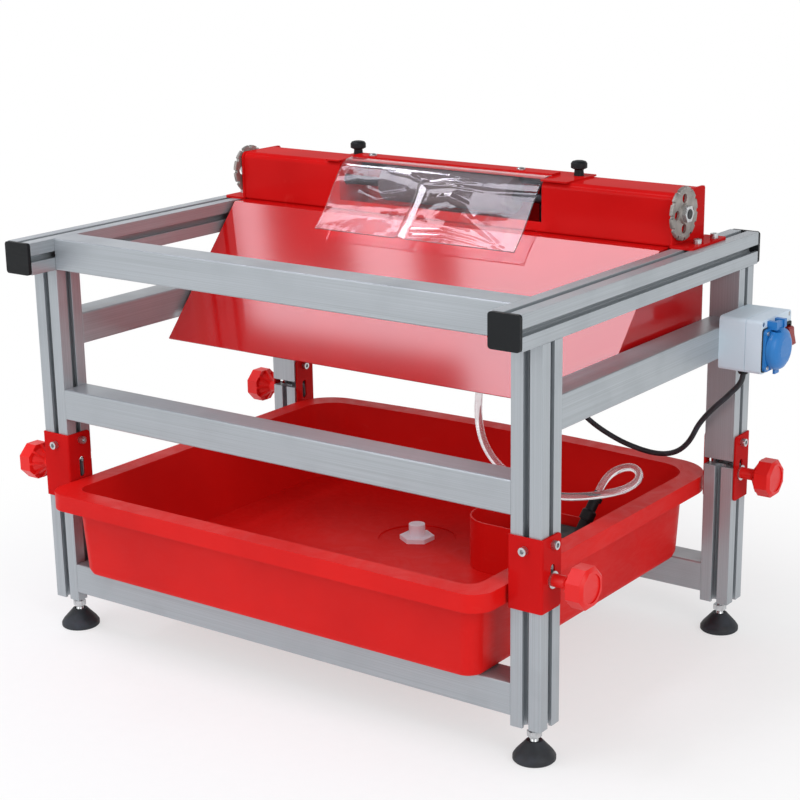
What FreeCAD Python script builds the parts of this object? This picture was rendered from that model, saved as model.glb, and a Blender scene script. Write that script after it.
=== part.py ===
import FreeCAD, Part
import math
import os
import Sketcher

# Wet grinding sharpener: a slotted aluminium profile frame that slides up and
# down on a low base, with a driven grinding wheel in a red beam over a splash
# plate, a water tub with a pump below, and a socket box on the right side.
# All lengths are in millimetres. The modelling frame has X = 0 on the middle
# plane, Y = 0 at the front ends of the side rails and Z = 0 on the floor.

DOC = FreeCAD.newDocument("wet_sharpener")
SHEET = DOC.addObject("Spreadsheet::Sheet", "dims")
NODES = []
CELLS = []


class Size:
    """A length: its number now, and the expression that drives it."""

    def __init__(self, value, text):
        self.value = float(value)
        self.text = text

    def join(self, sign, other, value):
        return Size(value, "(%s %s %s)" % (self.text, sign, other.text))

    def __add__(self, other):
        other = as_size(other)
        return self.join("+", other, self.value + other.value)

    def __radd__(self, other):
        return as_size(other) + self

    def __sub__(self, other):
        other = as_size(other)
        return self.join("-", other, self.value - other.value)

    def __rsub__(self, other):
        return as_size(other) - self

    def __mul__(self, other):
        other = as_size(other)
        return self.join("*", other, self.value * other.value)

    def __rmul__(self, other):
        return as_size(other) * self

    def __truediv__(self, other):
        other = as_size(other)
        return self.join("/", other, self.value / other.value)

    def __neg__(self):
        return as_size(0) - self


def as_size(item):
    if isinstance(item, Size):
        return item
    return Size(item, "(%.6f)" % item)


def square_root(item):
    return Size(math.sqrt(item.value), "sqrt(%s)" % item.text)


def dim(alias, value, note):
    """A driving dimension: one cell of the sheet with its alias."""
    row = len(CELLS) + 1
    SHEET.set("A%d" % row, note)
    SHEET.set("B%d" % row, str(value))
    SHEET.setAlias("B%d" % row, alias)
    CELLS.append(alias)
    return Size(value, "dims.%s" % alias)


# Frame
profile = dim("profile", 40, "side of the square frame profile")
half_in = dim("half_inner_width", 340, "middle plane to inner faces of the legs")
rail_len = dim("rail_length", 560, "side rails with their caps")
cap_t = dim("cap_thickness", 5, "end caps of the side rails")
front_leg = dim("front_leg_y", 45, "front face of the front legs")
rear_leg = rail_len - dim("rear_leg_inset", 55, "rear legs to the rail ends")
leg_bottom = dim("leg_bottom_z", 44, "underside of the lower legs")
leg_split = dim("lower_leg_top_z", 232, "top of the lower legs")
leg_gap = dim("leg_gap", 9, "gap between lower and upper legs")
rail_z = dim("rail_z", 490, "underside of the top rails")
front_mid_z = rail_z - dim("front_middle_drop", 196, "top rail to the front middle rail")
side_mid_z = rail_z - dim("side_middle_drop", 103, "top rail to the side middle rails")
low_rail_z = dim("low_rail_z", 56, "underside of the low rails")
tube_wall = dim("tube_wall", 2.5, "wall of the plain rails")
slot_mouth = dim("slot_mouth", 8.2, "mouth of the profile slots")
slot_lip = dim("slot_lip", 4.5, "depth of the slot lips")
slot_wide = dim("slot_undercut", 17, "width of the slot undercut")
slot_deep = dim("slot_depth", 12.2, "depth of the profile slots")
core_bore = dim("core_bore", 8.6, "bore along the profile core")
slot_step = dim("slot_step", 2.5, "upright part of the slot undercut")
tube_round = dim("tube_corner_radius", 2, "outer corners of the plain rails")
cap_round = dim("cap_corner_radius", 4, "corners of the end caps")

# Height clamps
sheet_t = dim("bracket_sheet", 2.5, "sheet of the leg brackets")
bracket_z = leg_split - dim("bracket_drop", 45, "bracket below the top of the lower legs")
bracket_h = dim("bracket_height", 86, "height of the leg brackets")
bracket_d = dim("bracket_depth", 39.5, "depth of the leg brackets")
slide_slot = dim("slide_slot_width", 8.6, "width of the bracket slots")
slide_low = leg_split - dim("slide_slot_drop", 19, "lower end of the bracket slots")
slide_high = leg_split + dim("slide_slot_rise", 8, "upper end of the bracket slots")
stud_z = leg_split - dim("stud_drop", 10, "clamp studs below the top of the lower legs")
stud_d = dim("stud_diameter", 8, "clamp studs")
washer_d = dim("washer_diameter", 20, "clamp washers")
washer_t = dim("washer_thickness", 1.6, "clamp washers")
knob_stem_d = dim("knob_stem_diameter", 15, "stem of the clamp knobs")
knob_stem_l = dim("knob_stem_length", 18, "stem of the clamp knobs")
knob_back_l = dim("knob_back_length", 10, "ribbed back of the clamp knobs")
knob_head_l = dim("knob_head_length", 21, "head of the clamp knobs")
knob_d = dim("knob_diameter", 50, "head of the clamp knobs")
screw_head_d = dim("screw_head_diameter", 10, "heads of the frame screws")
screw_head_h = dim("screw_head_height", 6, "heads of the frame screws")
screw_d = dim("screw_diameter", 6, "frame screws")
screw_grip = dim("screw_grip", 6, "thread below the clamped sheet")
hex_r = dim("screw_socket_radius", 2.6, "socket in the screw heads")
hole_room = dim("hole_room", 0.2, "room round screws and studs")
bracket_bend = dim("bracket_bend_radius", 3, "bends of the leg brackets")
bracket_corner = dim("bracket_corner_radius", 5, "free corners of the leg brackets")
side_drop = dim("bracket_side_screw_drop", 10, "side screws below the bracket edge")
face_drop = dim("bracket_face_screw_drop", 15, "face screws below the bracket edge")
stud_head_t = dim("stud_head_thickness", 2.2, "heads of the clamp studs, in the leg slots")
rib_t = dim("knob_rib_thickness", 2.8, "ribs of the clamp knobs")
knob_bevel = dim("knob_bevel", 3.5, "front edge of the clamp knobs")
knob_dish = dim("knob_dish_depth", 1.5, "dished front of the clamp knobs")
knob_rim = dim("knob_rim", 8.5, "rim round the dished front of the clamp knobs")

# Feet
foot_d = dim("foot_diameter", 50, "foot pads")
foot_h = dim("foot_height", 24, "foot pads")
spindle_d = dim("spindle_diameter", 8, "foot spindles")
nut_wide = dim("foot_nut_width", 15, "lock nut across flats")
nut_h = dim("foot_nut_height", 7, "lock nut")
nut_rise = dim("foot_nut_rise", 4.5, "lock nut over the foot pad")
ball_d = dim("foot_ball_diameter", 12, "ball of the foot spindles")
ball_in = dim("foot_ball_inset", 2, "middle of the ball below the top of the pad")

# Tub, pot, pump and drain
tub_half = half_in - dim("tub_gap", 6, "rim to the inner faces of the legs")
tub_front = dim("tub_front_y", -5, "front edge of the rim")
tub_rear = rail_len + dim("tub_overhang", 15, "rim behind the side rails, at the middle")
tub_h = dim("tub_height", 116, "height of the tub")
tub_wall = dim("tub_wall", 3.5, "wall of the tub")
tub_floor = dim("tub_floor", 5, "floor of the tub")
rim_wide = dim("rim_width", 23, "flat of the rim outside the wall")
rim_drop = dim("rim_drop", 22, "depth of the rim skirt")
tub_draft = dim("tub_draft", 6, "lean of the tub walls")
bow_r = dim("rear_bow_radius", 2900, "bow of the rear wall")
corner_f = dim("front_corner_radius", 28, "front corners of the rim")
corner_r = dim("rear_corner_radius", 60, "rear corners of the rim")
drain_x = dim("drain_x", -18, "drain")
drain_y = tub_rear - dim("drain_inset", 209, "drain to the rear of the rim")
drain_d = dim("drain_recess_diameter", 106, "dished place round the drain")
drain_hole = dim("drain_stem_diameter", 20, "stem of the drain plug")
tub_round = dim("tub_edge_radius", 9, "bottom edge of the tub")
dish_d = dim("drain_dish_depth", 2, "dished place round the drain")
plug_flat = dim("plug_half_flats", 20.5, "middle to the flats of the plug flange")
plug_base_h = dim("plug_flange_height", 6, "flange of the drain plug")
plug_cap_h = dim("plug_cap_height", 16, "cap of the drain plug")
plug_cap_d = dim("plug_cap_diameter", 22, "cap of the drain plug")
plug_tail = dim("plug_tail", 6, "stem of the drain plug below the tub")
pot_x = tub_half - dim("pot_inset_x", 157, "middle of the pump pot to the side of the rim")
pot_y = tub_rear - dim("pot_inset_y", 225, "middle of the pump pot to the rear of the rim")
pot_l = dim("pot_length", 176, "pump pot")
pot_w = dim("pot_width", 90, "pump pot")
pot_h = dim("pot_height", 67, "pump pot")
pot_wall = dim("pot_wall", 2.5, "wall of the pump pot")
pot_floor = dim("pot_floor", 3, "floor of the pump pot")
pump_h = dim("pump_height", 56, "pump")
pump_l = dim("pump_length", 80, "pump")
pump_w = dim("pump_width", 56, "pump")
pump_round = dim("pump_corner_radius", 20, "corners of the pump")
pump_x = dim("pump_offset", 33, "middle of the pump right of the middle of the pot")
outlet_x = dim("outlet_offset_x", 63, "pump outlet right of the middle of the pot")
outlet_y = dim("outlet_offset_y", 12, "pump outlet behind the middle of the pot")

# Beam, spindle and cover
beam_half = half_in - dim("beam_gap", 4.5, "beam ends to the inner faces of the legs")
beam_front = rail_len - dim("beam_inset", 154, "beam front to the rail ends")
beam_d = dim("beam_depth", 66, "depth of the beam")
beam_h = dim("beam_height", 65, "height of the beam")
beam_t = dim("beam_sheet", 2, "sheet of the beam")
open_left = dim("opening_left", 168, "middle plane to the left bulkhead")
open_right = dim("opening_right", 152, "middle plane to the right bulkhead")
lip_h = dim("lip_height", 13, "front lip under the opening")
open_back = beam_front + dim("opening_depth", 25, "opening in the top of the beam")
plate_t = dim("end_plate_thickness", 3, "end plates of the beam")
plate_back = dim("end_plate_reach", 14, "end plates behind the beam")
plate_front = dim("end_plate_lead", 2, "end plates in front of the beam")
foot_front = dim("beam_foot_lead", 7, "beam feet in front of the beam")
foot_back = dim("beam_foot_reach", 19, "beam feet behind the beam")
foot_edge = dim("beam_foot_inset", 12, "beam feet to the outer side of the rails")
axis_y = beam_front + dim("axis_depth", 18.5, "wheel axis behind the beam front")
axis_rise = dim("axis_rise", 39, "wheel axis over the rails")
shaft_d = dim("shaft_diameter", 12, "drive shaft")
wheel_d = dim("wheel_diameter", 46, "grinding wheel")
wheel_half = dim("wheel_half_length", 100, "grinding wheel")
disc_d = dim("disc_diameter", 66, "end discs")
disc_gap = dim("disc_gap", 1, "end discs off the end plates")
disc_t = dim("disc_thickness", 4.5, "end discs")
disc_hub = dim("disc_hub_wall", 5.5, "hubs of the end discs round the shaft")
notch_in = dim("disc_notch_inset", 1.5, "middle of a rim notch inside the edge of an end disc")
notch_r = dim("disc_notch_radius", 2.6, "rim notches of the end discs")
window_out = dim("disc_window_pitch", 18.4, "windows of the end discs from the axis")
window_d = dim("disc_window_diameter", 11.6, "windows of the end discs")
cover_half = dim("cover_half_length", 190, "top cover")
cover_t = dim("cover_sheet", 2, "sheet of the top cover")
cover_knob_x = dim("cover_knob_x", 175, "cover knobs")
cover_knob_y = beam_front + dim("cover_knob_depth", 52, "cover knobs behind the beam front")
cover_knob_d = dim("cover_knob_diameter", 21, "cover knobs")
cover_knob_h = dim("cover_knob_height", 19, "cover knobs")
film_left = dim("film_room_left", 3, "clear flap to the left bulkhead") - open_left
film_right = open_right - dim("film_room_right", 2, "clear flap to the right bulkhead")
film_t = dim("film_thickness", 1, "clear flap")
motor_d = dim("motor_diameter", 32, "motor")
motor_near = open_right + dim("motor_gap_inner", 20, "motor to the right bulkhead")
motor_far = beam_half - dim("motor_gap_outer", 28, "motor to the right end of the beam")
saddle_in = dim("motor_saddle_inset", 15, "saddle shorter than the motor at each end")
saddle_half = dim("motor_saddle_half_width", 12, "saddle under the motor")
nozzle_x = open_right - dim("nozzle_inset", 32, "water nozzle to the right bulkhead")
nozzle_y = beam_front + dim("nozzle_depth", 54, "water nozzle behind the beam front")
nozzle_d = dim("nozzle_diameter", 8, "water nozzle and spray pipe")
nozzle_drop = dim("nozzle_drop", 16, "nozzle and gland below the beam")
collar_d = dim("nozzle_collar_diameter", 16, "collar of the water nozzle")
collar_h = dim("nozzle_collar_height", 5, "collar of the water nozzle")
spray_rise = dim("spray_rise", 15, "spray pipe over the wheel axis")
gland_x = motor_near + dim("gland_inset", 28, "beam gland right of the motor end")
gland_y = beam_front + dim("gland_depth", 50, "beam gland behind the beam front")

# Splash plate
splash_half = half_in - dim("splash_gap", 6, "splash plate to the inner faces of the legs")
splash_low_y = beam_front - dim("splash_reach", 171, "splash plate in front of the beam")
splash_low_z = rail_z - dim("splash_drop", 126, "lower edge of the splash plate below the rails")
splash_t = dim("splash_sheet", 2, "sheet of the splash plate")
splash_back = beam_front + dim("splash_flange", 34, "splash flange under the beam")
cheek_back = rear_leg - dim("cheek_gap", 8, "cheeks to the rear legs")
cheek_low = splash_low_z + dim("cheek_rise", 30, "cheeks above the splash edge")

# Socket box
box_y = rear_leg - dim("box_overhang", 51, "socket box in front of the rear leg")
box_w = dim("box_width", 83, "socket box along the rail")
box_z = side_mid_z - dim("box_drop", 12, "socket box below the side middle rail")
box_h = dim("box_height", 67, "socket box")
box_d = dim("box_depth", 36, "back half of the socket box")
lid_d = dim("lid_depth", 21, "lid of the socket box")
seam_w = dim("box_seam_width", 0.9, "groove between the socket box and its lid")
seam_in = dim("box_seam_depth", 0.8, "groove between the socket box and its lid")
box_wall = dim("box_wall", 2.5, "wall of the socket box")
sock_y = box_y + dim("socket_inset_y", 28.5, "middle of the socket on the box")
sock_z = box_z + dim("socket_inset_z", 29.5, "middle of the socket on the box")
sock_w = dim("socket_flange", 53, "flange of the socket")
sock_t = dim("socket_flange_thickness", 5, "flange of the socket")
flap_d = dim("flap_diameter", 54, "lid of the socket")
lug_half = dim("flap_lug_half_width", 7, "hinge lug of the socket lid")
ear_w = dim("socket_ear_width", 6.7, "hinge ears of the socket")
ear_half = dim("socket_ear_half_height", 5, "hinge ears of the socket")
ear_room = dim("socket_ear_room", 0.3, "room between hinge ears and lug")
hinge_rise = dim("socket_hinge_rise", 3.5, "hinge over the flange of the socket")
hinge_out = dim("socket_hinge_reach", 4, "hinge in front of the flange of the socket")
flap_h = dim("flap_height", 15, "lid of the socket")
switch_y = box_y + dim("switch_inset_y", 70, "middle of the switch on the box")
switch_z = box_z + dim("switch_inset_z", 36, "middle of the switch on the box")
switch_w = dim("switch_width", 22, "switch frame")
switch_h = dim("switch_height", 34, "switch frame")
box_gland_x = dim("box_gland_inset_x", 23, "box gland to the rail side")
box_gland_y = dim("box_gland_inset_y", 24, "box gland to the front of the box")
box_gland_h = dim("box_gland_drop", 8, "gland below the box")
lid_screw_d = dim("lid_screw_diameter", 5.4, "screws of the box lid and of the socket")
lid_screw_in = dim("lid_screw_inset", 5, "lid screws to the edges of the lid")
lid_sink = dim("lid_screw_sink", 1.6, "lid screws below the face of the lid")
sock_screw_in = dim("socket_screw_inset", 5, "socket screws to the edges of the flange")
screw_cap_h = dim("small_screw_head", 1.4, "heads of the small screws")

# Cable and hose
cable_d = dim("cable_diameter", 7, "power cable")
hose_d = dim("hose_diameter", 10, "water hose")

# Positions that follow from the sizes
half_out = half_in + profile
disc_x = beam_half + plate_t + disc_gap
lid_face = half_out + box_d + lid_d
socket_reach = lid_face + sock_t + flap_h
knob_seat = half_out + sheet_t + washer_t
knob_reach = knob_seat + knob_stem_l + knob_back_l + knob_head_l
shift_x = (knob_reach - socket_reach) / 2
shift_y = -(tub_front + tub_rear) / 2
upper_bottom = leg_split + leg_gap
rail_top = rail_z + profile
axis_z = rail_top + axis_rise
beam_back = beam_front + beam_d
beam_top = rail_top + beam_h
cover_top = beam_top + cover_t
front_mid = front_leg + profile / 2
rear_mid = rear_leg + profile / 2
leg_mid = half_in + profile / 2
tub_bottom = low_rail_z + profile
tub_top = tub_bottom + tub_h
tub_inside = tub_bottom + tub_floor
SIDES = (("left", -1), ("right", 1))

DOC.recompute()


def bind(item, path, size):
    item.setExpression(path, as_size(size).text)


def seat(item, x, y, z):
    """Puts an object at a place of the modelling frame."""
    bind(item, "Placement.Base.x", shift_x + x)
    bind(item, "Placement.Base.y", shift_y + y)
    bind(item, "Placement.Base.z", z)


def box(name, x, y, z):
    """A block between two planes on each axis."""
    item = DOC.addObject("Part::Box", name)
    bind(item, "Length", as_size(x[1]) - x[0])
    bind(item, "Width", as_size(y[1]) - y[0])
    bind(item, "Height", as_size(z[1]) - z[0])
    seat(item, x[0], y[0], z[0])
    return item


TURNS = {
    "X": FreeCAD.Rotation(FreeCAD.Vector(0, 1, 0), 90),
    "Y": FreeCAD.Rotation(FreeCAD.Vector(1, 0, 0), -90),
    "Z": FreeCAD.Rotation(),
}


def rod(name, axis, start, end, first, second, radius):
    """A cylinder along an axis; first and second place it on the other two."""
    item = DOC.addObject("Part::Cylinder", name)
    item.Placement = FreeCAD.Placement(FreeCAD.Vector(), TURNS[axis])
    bind(item, "Radius", radius)
    bind(item, "Height", as_size(end) - start)
    if axis == "X":
        seat(item, start, first, second)
    elif axis == "Y":
        seat(item, first, start, second)
    else:
        seat(item, first, second, start)
    return item


def fuse(name, items):
    item = DOC.addObject("Part::MultiFuse", name)
    item.Shapes = items
    item.Refine = True
    return item


def cut(name, base, tools):
    item = DOC.addObject("Part::Cut", name)
    item.Base = base
    if len(tools) == 1:
        item.Tool = tools[0]
    else:
        item.Tool = fuse(name + "_tools", tools)
    item.Refine = True
    return item


def common(name, items):
    item = DOC.addObject("Part::MultiCommon", name)
    item.Shapes = items
    item.Refine = True
    return item


def group(name, items):
    item = DOC.addObject("Part::Compound", name)
    item.Links = items
    return item


def node(label, item):
    """Marks an object as a finished piece under its own name."""
    item.Label = label
    NODES.append(item)
    return item


def body(name, x=0, y=0, z=0, turn=None):
    item = DOC.addObject("PartDesign::Body", name)
    if turn is not None:
        item.Placement = FreeCAD.Placement(FreeCAD.Vector(), turn)
    seat(item, x, y, z)
    return item


def plane(item, role):
    for feature in item.Origin.OriginFeatures:
        if feature.Role == role:
            return feature
    return None


def sketch(item, name, role, offset=0):
    """A sketch on one of the body's planes, moved along that plane's normal."""
    made = item.newObject("Sketcher::SketchObject", name)
    made.AttachmentSupport = [(plane(item, role), "")]
    made.MapMode = "FlatFace"
    bind(made, "AttachmentOffset.Base.z", offset)
    return made


def draw(made, points):
    """A closed outline. Each point is (x, y, arc) for the edge that leaves it,
    where arc is None or (radius, centre, counterclockwise)."""
    first = made.GeometryCount
    count = len(points)
    ends = []
    for i, (x, y, arc) in enumerate(points):
        start = FreeCAD.Vector(x.value, y.value, 0)
        after = points[(i + 1) % count]
        end = FreeCAD.Vector(after[0].value, after[1].value, 0)
        if arc is None:
            made.addGeometry(Part.LineSegment(start, end), False)
            ends.append((1, 2))
            continue
        radius, centre, left_turn = arc
        middle = FreeCAD.Vector(centre[0], centre[1], 0)
        circle = Part.Circle(middle, FreeCAD.Vector(0, 0, 1), radius.value)
        a = math.atan2(start.y - middle.y, start.x - middle.x)
        b = math.atan2(end.y - middle.y, end.x - middle.x)
        if left_turn:
            made.addGeometry(Part.ArcOfCircle(circle, a, b), False)
            ends.append((1, 2))
        else:
            made.addGeometry(Part.ArcOfCircle(circle, b, a), False)
            ends.append((2, 1))
    for i, (x, y, arc) in enumerate(points):
        edge = first + i
        after = (i + 1) % count
        made.addConstraint(
            Sketcher.Constraint(
                "Coincident", edge, ends[i][1], first + after, ends[after][0]
            )
        )
        for kind, size in (("DistanceX", x), ("DistanceY", y)):
            index = made.addConstraint(
                Sketcher.Constraint(kind, edge, ends[i][0], size.value)
            )
            bind(made, "Constraints[%d]" % index, size)
        if arc is not None:
            index = made.addConstraint(
                Sketcher.Constraint("Radius", edge, arc[0].value)
            )
            bind(made, "Constraints[%d]" % index, arc[0])


def toward(here, there, reach):
    """A point on the edge from one corner to the next, along X or Y."""
    dx = there[0].value - here[0].value
    dy = there[1].value - here[1].value
    if abs(dx) > abs(dy):
        return (here[0] + reach * math.copysign(1, dx), here[1])
    return (here[0], here[1] + reach * math.copysign(1, dy))


def outline(made, corners):
    """A closed outline of straight edges; a third value rounds its corner."""
    sized = []
    for corner in corners:
        sized.append([as_size(value) for value in corner])
    points = []
    count = len(sized)
    for i, corner in enumerate(sized):
        if len(corner) == 2:
            points.append((corner[0], corner[1], None))
            continue
        radius = corner[2]
        start = toward(corner, sized[i - 1], radius)
        end = toward(corner, sized[(i + 1) % count], radius)
        centre = (
            start[0].value + end[0].value - corner[0].value,
            start[1].value + end[1].value - corner[1].value,
        )
        ax = corner[0].value - start[0].value
        ay = corner[1].value - start[1].value
        bx = end[0].value - corner[0].value
        by = end[1].value - corner[1].value
        points.append((start[0], start[1], (radius, centre, ax * by > ay * bx)))
        points.append((end[0], end[1], None))
    draw(made, points)


def ring(made, x, y, radius):
    """A full circle in a sketch."""
    x = as_size(x)
    y = as_size(y)
    radius = as_size(radius)
    middle = FreeCAD.Vector(x.value, y.value, 0)
    circle = Part.Circle(middle, FreeCAD.Vector(0, 0, 1), radius.value)
    edge = made.addGeometry(circle, False)
    index = made.addConstraint(Sketcher.Constraint("Radius", edge, radius.value))
    bind(made, "Constraints[%d]" % index, radius)
    for kind, size in (("DistanceX", x), ("DistanceY", y)):
        index = made.addConstraint(Sketcher.Constraint(kind, edge, 3, size.value))
        bind(made, "Constraints[%d]" % index, size)


def rectangle(x, y, radius=None):
    corners = [(x[0], y[0]), (x[1], y[0]), (x[1], y[1]), (x[0], y[1])]
    if radius is None:
        return corners
    return [corner + (radius,) for corner in corners]


ROLES = {"X": "YZ_Plane", "Y": "XZ_Plane", "Z": "XY_Plane"}


def prism(name, axis, start, end, outlines, rings=(), origin=None):
    """A body padded along an axis from one or more closed outlines."""
    item = origin or body(name)
    if axis == "Y":
        made = sketch(item, name + "_section", ROLES[axis], -as_size(end))
    else:
        made = sketch(item, name + "_section", ROLES[axis], start)
    for corners in outlines:
        outline(made, corners)
    for x, y, radius in rings:
        ring(made, x, y, radius)
    pad = item.newObject("PartDesign::Pad", name + "_pad")
    pad.Profile = made
    bind(pad, "Length", as_size(end) - start)
    made.Visibility = False
    return item


def turned(name, axis, corners, item):
    """A body of revolution about one of its own axes; corners are (along, radius)."""
    if axis == "X":
        made = sketch(item, name + "_half", "XY_Plane")
        outline(made, corners)
        line = "X_Axis"
    else:
        made = sketch(item, name + "_half", "XZ_Plane")
        outline(made, [(radius, along) for along, radius in corners])
        line = "Z_Axis"
    made.Visibility = False
    feature = item.newObject("PartDesign::Revolution", name + "_turn")
    feature.Profile = made
    feature.ReferenceAxis = (plane(item, line), [""])
    feature.Angle = 360
    return item


def section_slotted(x, y):
    """Outline of the slotted profile about a middle point."""
    side = profile / 2
    mouth = slot_mouth / 2
    lip = side - slot_lip
    wide = slot_wide / 2
    deep = side - slot_deep
    slope = lip - slot_step
    quarter = [
        (side, side),
        (mouth, side),
        (mouth, lip),
        (wide, lip),
        (wide, slope),
        (mouth + 1, deep),
        (-mouth - 1, deep),
        (-wide, slope),
        (-wide, lip),
        (-mouth, lip),
        (-mouth, side),
    ]
    corners = []
    for turn in range(4):
        for u, v in quarter:
            for step in range(turn):
                u, v = -v, u
            corners.append((x + u, y + v))
    return corners


def slotted(name, axis, start, end, x, y):
    return prism(name, axis, start, end, [section_slotted(x, y)], [(x, y, core_bore / 2)])


def hollow(name, axis, start, end, x, y):
    """A plain square rail; x and y are its low corner in the section."""
    far_x = x + profile
    far_y = y + profile
    outer = rectangle((x, far_x), (y, far_y), tube_round)
    inner = rectangle(
        (x + tube_wall, far_x - tube_wall), (y + tube_wall, far_y - tube_wall)
    )
    return prism(name, axis, start, end, [outer, inner])


# Frame profiles
for side, sign in SIDES:
    leg_x = sign * leg_mid
    rail = slotted("rail_" + side, "Y", cap_t, rail_len - cap_t, leg_x, rail_z + profile / 2)
    node("side_rail_" + side, rail)
    uppers = []
    lowers = []
    for place, leg_y in (("front", front_mid), ("rear", rear_mid)):
        tag = place + "_" + side
        upper = slotted("upper_" + tag, "Z", upper_bottom, rail_z, leg_x, leg_y)
        if place == "rear":
            strip = box(
                "slot_strip_" + tag,
                (leg_x - slot_mouth / 2, leg_x + slot_mouth / 2),
                (rear_leg, rear_leg + slot_lip),
                (upper_bottom, rail_z),
            )
            upper = fuse("upper_closed_" + tag, [upper, strip])
        uppers.append(upper)
        lowers.append(slotted("lower_" + tag, "Z", leg_bottom, leg_split, leg_x, leg_y))
    node("upper_legs_" + side, group("uppers_" + side, uppers))
    node("lower_legs_" + side, group("lowers_" + side, lowers))

caps = []
for side, sign in SIDES:
    low_x = sign * leg_mid - profile / 2
    across = rectangle((low_x, low_x + profile), (rail_z, rail_top), cap_round)
    caps.append(prism("cap_front_" + side, "Y", 0, cap_t, [across]))
    caps.append(prism("cap_rear_" + side, "Y", rail_len - cap_t, rail_len, [across]))
node("rail_end_caps", group("caps", caps))

node("front_rail_top", hollow("rail_top", "X", -half_in, half_in, front_leg, rail_z))
node(
    "front_rail_middle",
    hollow("rail_front", "X", -half_in, half_in, front_leg, front_mid_z),
)
node("lower_rail_front", hollow("low_front", "X", -half_in, half_in, front_leg, low_rail_z))
node("lower_rail_rear", hollow("low_rear", "X", -half_in, half_in, rear_leg, low_rail_z))
mids = []
for side, sign in SIDES:
    low_x = sign * leg_mid - profile / 2
    mids.append(
        hollow("mid_" + side, "Y", front_leg + profile, rear_leg, low_x, side_mid_z)
    )
node("side_rails_middle", group("mids", mids))

# Leg brackets with their slide slots and screw holes
screws = []
screw_hole = screw_d / 2 + hole_room


def cap_screw(name, axis, face, outward, first, second, grip):
    """A socket head screw whose head sits on a face."""
    if outward > 0:
        head = (face, face + screw_head_h)
        shank = (face - grip, face)
        socket = (face + screw_head_h / 2, face + screw_head_h + 1)
    else:
        head = (face - screw_head_h, face)
        shank = (face, face + grip)
        socket = (face - screw_head_h - 1, face - screw_head_h / 2)
    top = rod(name + "_head", axis, head[0], head[1], first, second, screw_head_d / 2)
    stem = rod(name + "_stem", axis, shank[0], shank[1], first, second, screw_d / 2)
    well = rod(name + "_well", axis, socket[0], socket[1], first, second, hex_r)
    return cut(name, fuse(name + "_solid", [top, stem]), [well])


for side, sign in SIDES:
    for place, near, facing in (("front", front_leg, -1), ("rear", rear_leg, 1)):
        tag = place + "_" + side
        leg_x = sign * leg_mid
        reach = profile / 2 + sheet_t
        mid_y = near + profile / 2
        face_y = mid_y + facing * reach
        wall_y = mid_y + facing * profile / 2
        tip_y = face_y - facing * bracket_d
        wrap = [
            (leg_x - reach, tip_y),
            (leg_x - reach, face_y, bracket_bend),
            (leg_x + reach, face_y, bracket_bend),
            (leg_x + reach, tip_y),
            (leg_x + profile / 2, tip_y),
            (leg_x + profile / 2, wall_y),
            (leg_x - profile / 2, wall_y),
            (leg_x - profile / 2, tip_y),
        ]
        bent = prism("wrap_" + tag, "Z", bracket_z, bracket_z + bracket_h, [wrap])
        past = face_y + facing * bracket_corner
        depth = (past, tip_y) if facing < 0 else (tip_y, past)
        cheek = rectangle(depth, (bracket_z, bracket_z + bracket_h), bracket_corner)
        blank = prism("blank_" + tag, "X", leg_x - profile, leg_x + profile, [cheek])
        raw = common("flanges_" + tag, [bent, blank])
        half = slide_slot / 2
        track = rectangle(
            (mid_y - half, mid_y + half), (slide_low, slide_high), half - 0.05
        )
        slot = prism("track_" + tag, "X", leg_x - profile, leg_x + profile, [track])
        side_z = bracket_z + bracket_h - side_drop
        face_z = bracket_z + bracket_h - face_drop
        drill_x = rod(
            "drill_x_" + tag, "X", leg_x - profile, leg_x + profile, mid_y, side_z, screw_hole
        )
        drill_y = rod(
            "drill_y_" + tag,
            "Y",
            face_y - sheet_t * 2,
            face_y + sheet_t * 2,
            leg_x,
            face_z,
            screw_hole,
        )
        node("leg_bracket_" + tag, cut("bracket_" + tag, raw, [slot, drill_x, drill_y]))
        grip = sheet_t + screw_grip
        screws.append(cap_screw("screw_in_" + tag, "X", leg_x - reach, -1, mid_y, side_z, grip))
        screws.append(cap_screw("screw_out_" + tag, "X", leg_x + reach, 1, mid_y, side_z, grip))
        screws.append(cap_screw("screw_face_" + tag, "Y", face_y, facing, leg_x, face_z, grip))

# Clamp studs with washers, and the clamp knobs
studs = []
for side, sign in SIDES:
    for place, mid_y in (("front", front_mid), ("rear", rear_mid)):
        tag = place + "_" + side
        seat_out = sign * (half_out + sheet_t)
        tip = sign * (knob_seat + knob_stem_l)
        head_out = sign * (half_out - slot_lip - hole_room)
        head_in = sign * (half_out - slot_lip - hole_room - stud_head_t)
        ends = (head_in, tip) if sign > 0 else (tip, head_in)
        caps_x = (head_in, head_out) if sign > 0 else (head_out, head_in)
        face = sign * knob_seat
        ring_x = (seat_out, face) if sign > 0 else (face, seat_out)
        stem = rod("stud_stem_" + tag, "X", ends[0], ends[1], mid_y, stud_z, stud_d / 2)
        top = rod("stud_head_" + tag, "X", caps_x[0], caps_x[1], mid_y, stud_z, stud_d)
        studs.append(fuse("stud_" + tag, [stem, top]))
        plate = rod("plate_" + tag, "X", ring_x[0], ring_x[1], mid_y, stud_z, washer_d / 2)
        bore = rod(
            "plate_bore_" + tag,
            "X",
            ring_x[0] - 1,
            ring_x[1] + 1,
            mid_y,
            stud_z,
            stud_d / 2 + hole_room,
        )
        studs.append(cut("washer_" + tag, plate, [bore]))
node("clamp_studs", group("studs", studs))



def farthest(item, way):
    """Name of the face of an object that lies farthest along a direction."""
    best = None
    for i, face in enumerate(item.Shape.Faces):
        reach = face.CenterOfMass.dot(way)
        if best is None or reach > best[1]:
            best = ("Face%d" % (i + 1), reach)
    return best[0]


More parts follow.
